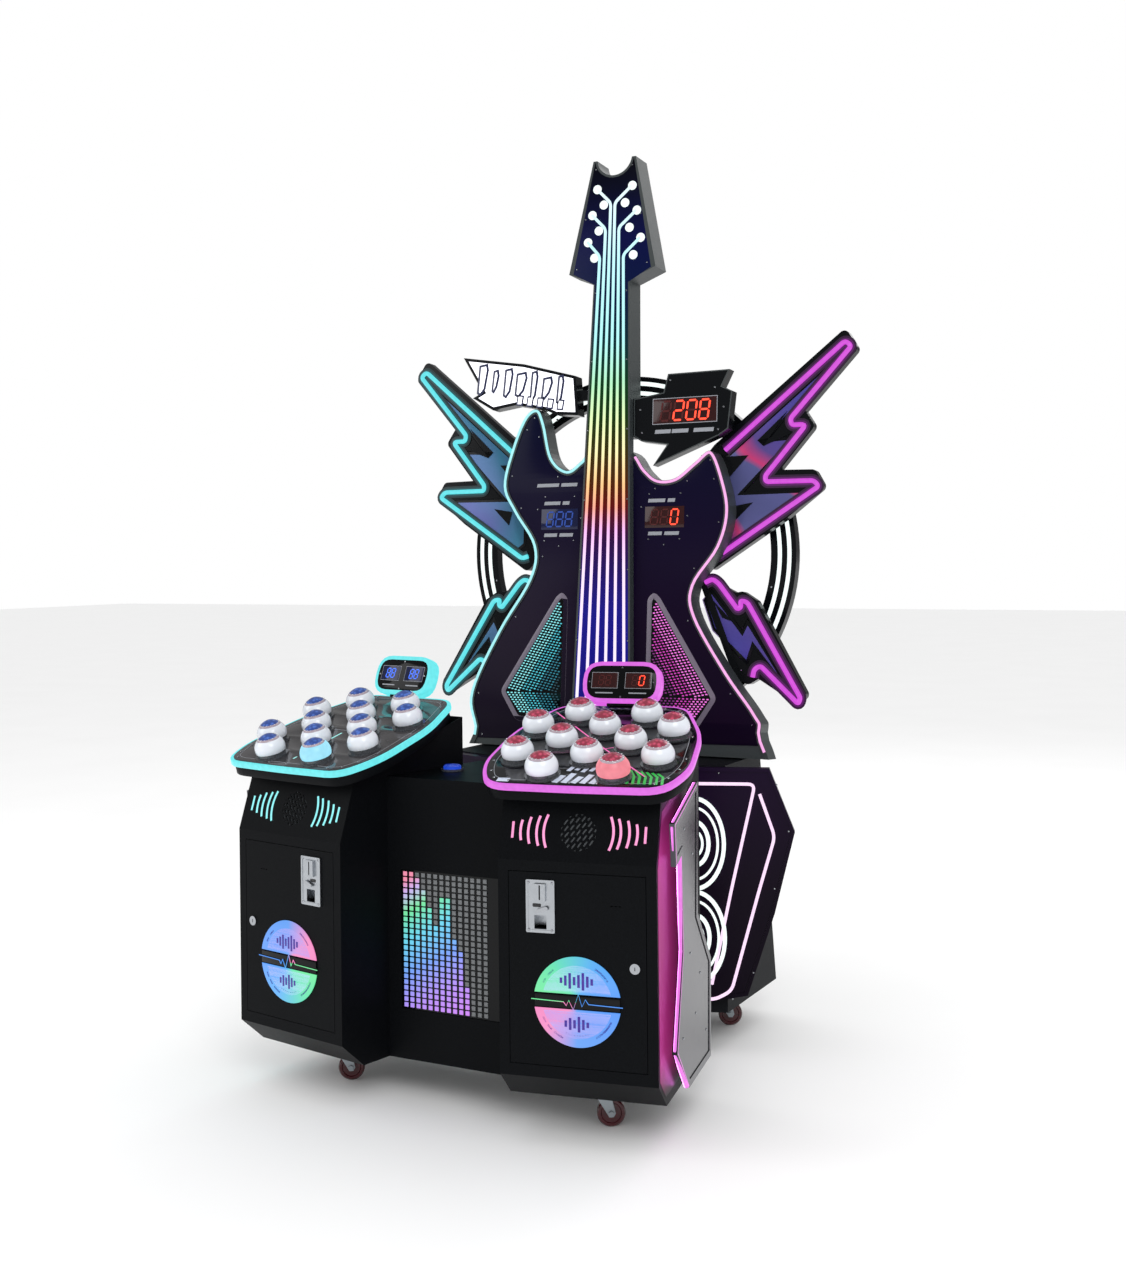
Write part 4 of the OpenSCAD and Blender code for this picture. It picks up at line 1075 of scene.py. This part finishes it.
# ---------------------------------------------------------------- wings, ring and boards
WING_UPPER = [(672, 1920), (708, 1860), (562, 1698), (590, 1655), (492, 1538), (592, 1536), (620, 1488),
              (518, 1407), (294, 1260), (246, 1312), (246, 1555), (296, 1615)]
WING_LOWER = [(246, 1262), (370, 1200), (390, 1204), (432, 1178), (580, 924), (554, 896), (440, 964),
              (410, 946), (366, 970)]


def wings(side, s):
    """A light tube inside the rim of each wing board, bolt-shaped metallic print, and dim lit strips
    behind the tubes that stand for the light they throw on the board."""
    where = LEAN @ flipped(s)
    upper_tube = [(330, 1598), (672, 1883), (690, 1868), (520, 1678), (524, 1660), (566, 1660), (450, 1522),
                  (452, 1506), (590, 1505), (604, 1489), (312, 1300), (292, 1306)]
    lower_tube = [(278, 1228), (300, 1238), (318, 1226), (376, 1154), (386, 1160), (384, 1178), (404, 1174),
                  (562, 916), (556, 900), (446, 1000), (428, 990), (424, 968)]
    y = BODY_T - 3.0
    tubes = [light_tube(upright_path(path, y), 6.6, bend=16) for path in (upper_tube, lower_tube)]
    placed(painted(joined(*tubes), wing_light[side]), f"wing_tubes_{side}", where, "root")
    for number, (half, finish) in enumerate(zip((18, 12), wing_spill[side])):
        for part, path in zip(("upper", "lower"), (upper_tube, lower_tube)):
            strip = light_tube(upright_path(path, 0), half, bend=16, sides=2)
            strip.data.transform(Matrix.Diagonal((1, 0.03, 1, 1)))
            placed(painted(strip, finish), f"wing_spill_{part}_{side}_{number + 1}",
                   where @ moved(0, BODY_T - 0.2 - number * 0.4, 0), "root")
    art = [(628, 1820), (462, 1628), (542, 1632), (392, 1482), (585, 1482), (332, 1316), (300, 1340),
           (300, 1560)]
    low_art = [(297, 1212), (388, 1100), (404, 1132), (520, 945), (424, 1046), (408, 996), (300, 1094),
               (268, 1180)]
    for number, shape in enumerate((art, low_art)):
        layers = [sheet(shape, 1.2, wing_line[side], 0.2), sheet(inset(shape, 3), 1.5, board_black, 0.2),
                  sheet(inset(shape, 11), 1.8, wing_art[side], 0.2)]
        layers = [shifted(part, 0, 0, part.dimensions.z) for part in layers]
        placed(joined(*layers), f"wing_art_{side}_{number + 1}", where @ moved(0, BODY_T + 3.2, 0) @ UPRIGHT,
               "root")
    bolts = (((510, 1700), (442, 1606), (528, 1640), (424, 1622)), ((322, 1580), (398, 1582), (330, 1508)),
             ((352, 1440), (414, 1450), (362, 1400)), ((300, 1180), (360, 1120), (330, 1130)))
    darts = [sheet(shape, 0.8, board_black) for shape in bolts]
    placed(joined(*darts), f"wing_darts_{side}", where @ moved(0, BODY_T - 0.3, 0) @ UPRIGHT, "root")
    spots = [facing(x, BODY_T + 2.2, z) for ring in (WING_UPPER, WING_LOWER)
             for x, z in inset(rounded(ring, 30), 24)[::5] if x > 300]
    screws(f"wing_screws_{side}", spots, where, "root", 2.6)


# Painted glow: dim lit strips that stand for the light the wing tubes throw on the board
wing_spill = {"left": tint_steps("cyan_painted_board_glow", ("#06262a", "#0d4a50"), "#06090a"),
              "right": tint_steps("magenta_painted_board_glow", ("#2a0a30", "#571460"), "#0a060a")}


def wing_metallic(name, tints):
    """Metallic print: bands of slate, violet and pink that run up the wing, with a satin sheen."""
    finish, tree, place = new_finish(name)
    parts = axes(tree, place)
    skew = maths(tree, "MULTIPLY_ADD", parts["Z"], 0.55, parts["X"])
    sway = maths(tree, "MULTIPLY_ADD", noise(tree, place, 4, 1), 0.3, skew)
    turn = maths(tree, "PINGPONG", maths(tree, "MULTIPLY", sway, 2.2), 1.0)
    surfaced(tree, {"Base Color": tinted(tree, turn, tints), "Metallic": 0.35, "Roughness": 0.3})
    return finish


wing_art = {"left": wing_metallic("slate_teal_print", ((0.0, "#3c4f86"), (0.4, "#4a5c94"), (0.7, "#2f6f8c"),
                                                       (1.0, "#5a63a0"))),
            "right": wing_metallic("slate_violet_print", ((0.0, "#565888"), (0.35, "#4b45a0"),
                                                          (0.62, "#5a4890"), (0.74, "#d03a78"),
                                                          (0.8, "#5a5c94"), (1.0, "#54588c")))}
wing_line = {"left": plastic("pale_blue_outline", "#7fa0d0", 0.3, 300),
             "right": plastic("lilac_outline", "#9a86b8", 0.3, 300)}


def halo_lights():
    """Two white light lines round the ring, in four segments between its fixings."""
    tubes = []
    for start in (-42, 48, 138, 228):
        for radius in (496, 468):
            arc = circle(radius, 40, 0, RING_Z, start, 84)
            tubes.append(light_tube(upright_path(arc, RING_Y + 0.5), 6.2, sides=2))
    placed(painted(joined(*tubes), white_light), "halo_lights", GROUND, "root")
    spots = [facing(x, RING_Y, z) for x, z in circle(452, 16, 0, RING_Z, 10)]
    screws("halo_screws", spots, GROUND, "root", 3)


def score_board():
    """A four-digit display on the bolt-shaped board, in a grey rim."""
    outline = [(73, 1641), (98, 1625), (177, 1613), (135, 1555), (332, 1632), (360, 1650), (370, 1755),
               (339, 1770), (361, 1816), (175, 1814), (162, 1762), (70, 1748)]
    parts = [shifted(sheet(outline, 3, core_edge, 0.8, [inset(outline, 3.5)]), 0, 0, 1.2),
             shifted(sheet(oblong(132, 1673, 325, 1743), 1.6, window_red, 0.3), 0, 0, 1.4),
             shifted(sheet(oblong(130, 1671, 327, 1745), 1.2, caption_grey, 0.2), 0, 0, 1.0),
             shifted(digits(" 208", 54, digit_red, digit_red_off), 230, 1708, 1.2)]
    for a, b in ((138, 186), (190, 240), (256, 316)):
        mark = sheet([(a, 1645), (b, 1645), (b + 2, 1656), (a + 2, 1656)], 0.8, caption_grey)
        parts.append(shifted(mark, 0, 0, 0.7))
    fixings = ((91, 1716), (345, 1712), (182, 1796), (318, 1768), (98, 1650), (330, 1650))
    parts.append(repeated(screw(3), [moved(x, z, 0.4) for x, z in fixings]))
    placed(joined(*parts), "score_display", LEAN @ UPRIGHT, "root")


def rear_details():
    """A screwed service panel with louvres, an inlet plate and a back cover behind the guitar."""
    away = turned("Z", 180) @ UPRIGHT
    where = moved(0, BASE_BACK, FLOOR_Z) @ turned("X", BASE_LEAN) @ away
    cover = shifted(sheet(rounded(oblong(-90, 120, 330, 560), 12), 2.4, coat_black, 0.6), 0, 0, 1.6)
    slot = rounded(oblong(-42, -3.5, 42, 3.5), 3.4)
    heights = range(430, 530, 16)
    louvres = repeated(sheet(slot, 2.2, coat_frame, 0.8),
                       [moved(x, z, 3.2) for x in (20, 120, 220) for z in heights])
    vents = repeated(sheet(slot, 1.6, coat_frame, 0.5),
                     [moved(x, z, 1.0) for x in (-300, -200) for z in heights])
    inlet = sheet(rounded(oblong(-184, 48, -104, 102), 5), 2, inner_grey, 0.5, [oblong(-166, 62, -122, 88)])
    pins = repeated(block((-1.2, -4, -10), (1.2, 4, -1), 0.4),
                    [moved(x, z, 0) for x, z in ((-154, 72), (-134, 72), (-144, 80))])
    placed(joined(cover, louvres, vents, shifted(inlet, 0, 0, 1.2), painted(pins, zinc_satin)),
           "rear_service_panel", where, "root")
    spots = [moved(x, z, 2.6) for x in (-76, 120, 316) for z in (134, 546)]
    spots += [moved(x, 75, 2.0) for x in (-176, -112)]
    screws("rear_panel_screws", spots, where, "root", 3)
    hull = [(-x, z) for x, z in inset([p for p in BODY if p[1] > BODY_FOOT], 42)][::-1]
    behind = LEAN @ moved(0, BODY_T, 0) @ away
    cover = shifted(sheet(hull, 2, coat_frame, 0.5), 0, 0, 1.2)
    placed(cover, "guitar_back_cover", behind, "root")
    spots = [moved(x, z, 1.8) for x, z in inset(hull, 14)[::7]]
    screws("guitar_back_screws", spots, behind, "root", 2.8)


def title_board():
    """A white-lit sign with two rows of plain slanted blocks, dark with a white middle."""
    outline = [(-501, 1905), (-290, 1872), (-117, 1826), (-105, 1710), (-180, 1716), (-216, 1732),
               (-314, 1751), (-393, 1740), (-464, 1780), (-430, 1796)]
    face = shifted(sheet(inset(outline, 9), 2, sign_white, 0.5), 0, 0, 1.2)
    shapes = []
    sizes = ((86, 20), (62, 14), (80, 18), (66, 22), (84, 15), (58, 20), (78, 14))
    for i, (height, wide) in enumerate(sizes):
        x, z, h = -430 + i * 44, 1835 - i * 7.5, height / 2
        shapes.append(([(x - wide, z - h), (x - wide / 3, z - h - 8), (x + wide / 2, z - h + 12),
                        (x + wide, z + h - 16), (x + wide - 4, z + h + 4), (x - wide + 6, z + h)], 7.5))
    for i in range(5):
        x, z = -300 + i * 34, 1764 - i * 5
        shapes.append(([(x - 13, z - 15), (x + 9, z - 17), (x + 14, z + 14), (x - 9, z + 17)], 5))
    ink = [shifted(sheet(shape, 1.2, sign_ink, 0.2), 0, 0, 1.9) for shape, _ in shapes]
    white = [shifted(sheet(inset(shape, rim), 1.2, sign_white, 0.2), 0, 0, 2.3) for shape, rim in shapes]
    placed(joined(face, *ink, *white), "title_sign", LEAN @ moved(0, -4, 0) @ UPRIGHT, "root")


sign_white = lit_silicone("white_lit_acrylic", "#f6f6ff", 0.95, "#f4f4fa")
panel_purple = printed_panel("purple_black_print", 0.1, 0.75, ((0.0, "#0c0412"), (0.5, "#120818"),
                                                              (1.0, "#1a0a26")))
sign_ink = plastic("slate_sign_ink", "#262b4a", 0.25, 300)


# ---------------------------------------------------------------- putting it all together
studio()
cad_finishes()
for side, s in SIDES.items():
    door_emblem(side, s)
    sound_bars(side, s)
    deck_pieces(side, s)
    dome_buttons(side, s)
    display_pod(side, s)
    side_lights(side, s)
    coin_details(side, s)
    speaker_lights(side, s)
    guitar_windows(side, s)
    player_display(side)
    wings(side, s)
pixel_panel()
start_buttons()
guitar_body()
guitar_neck()
halo_lights()
score_board()
title_board()
rear_details()
for node, finish in (("speaker_panels", panel_purple), ("wings", board_black)):
    painted(nodes[node], finish)
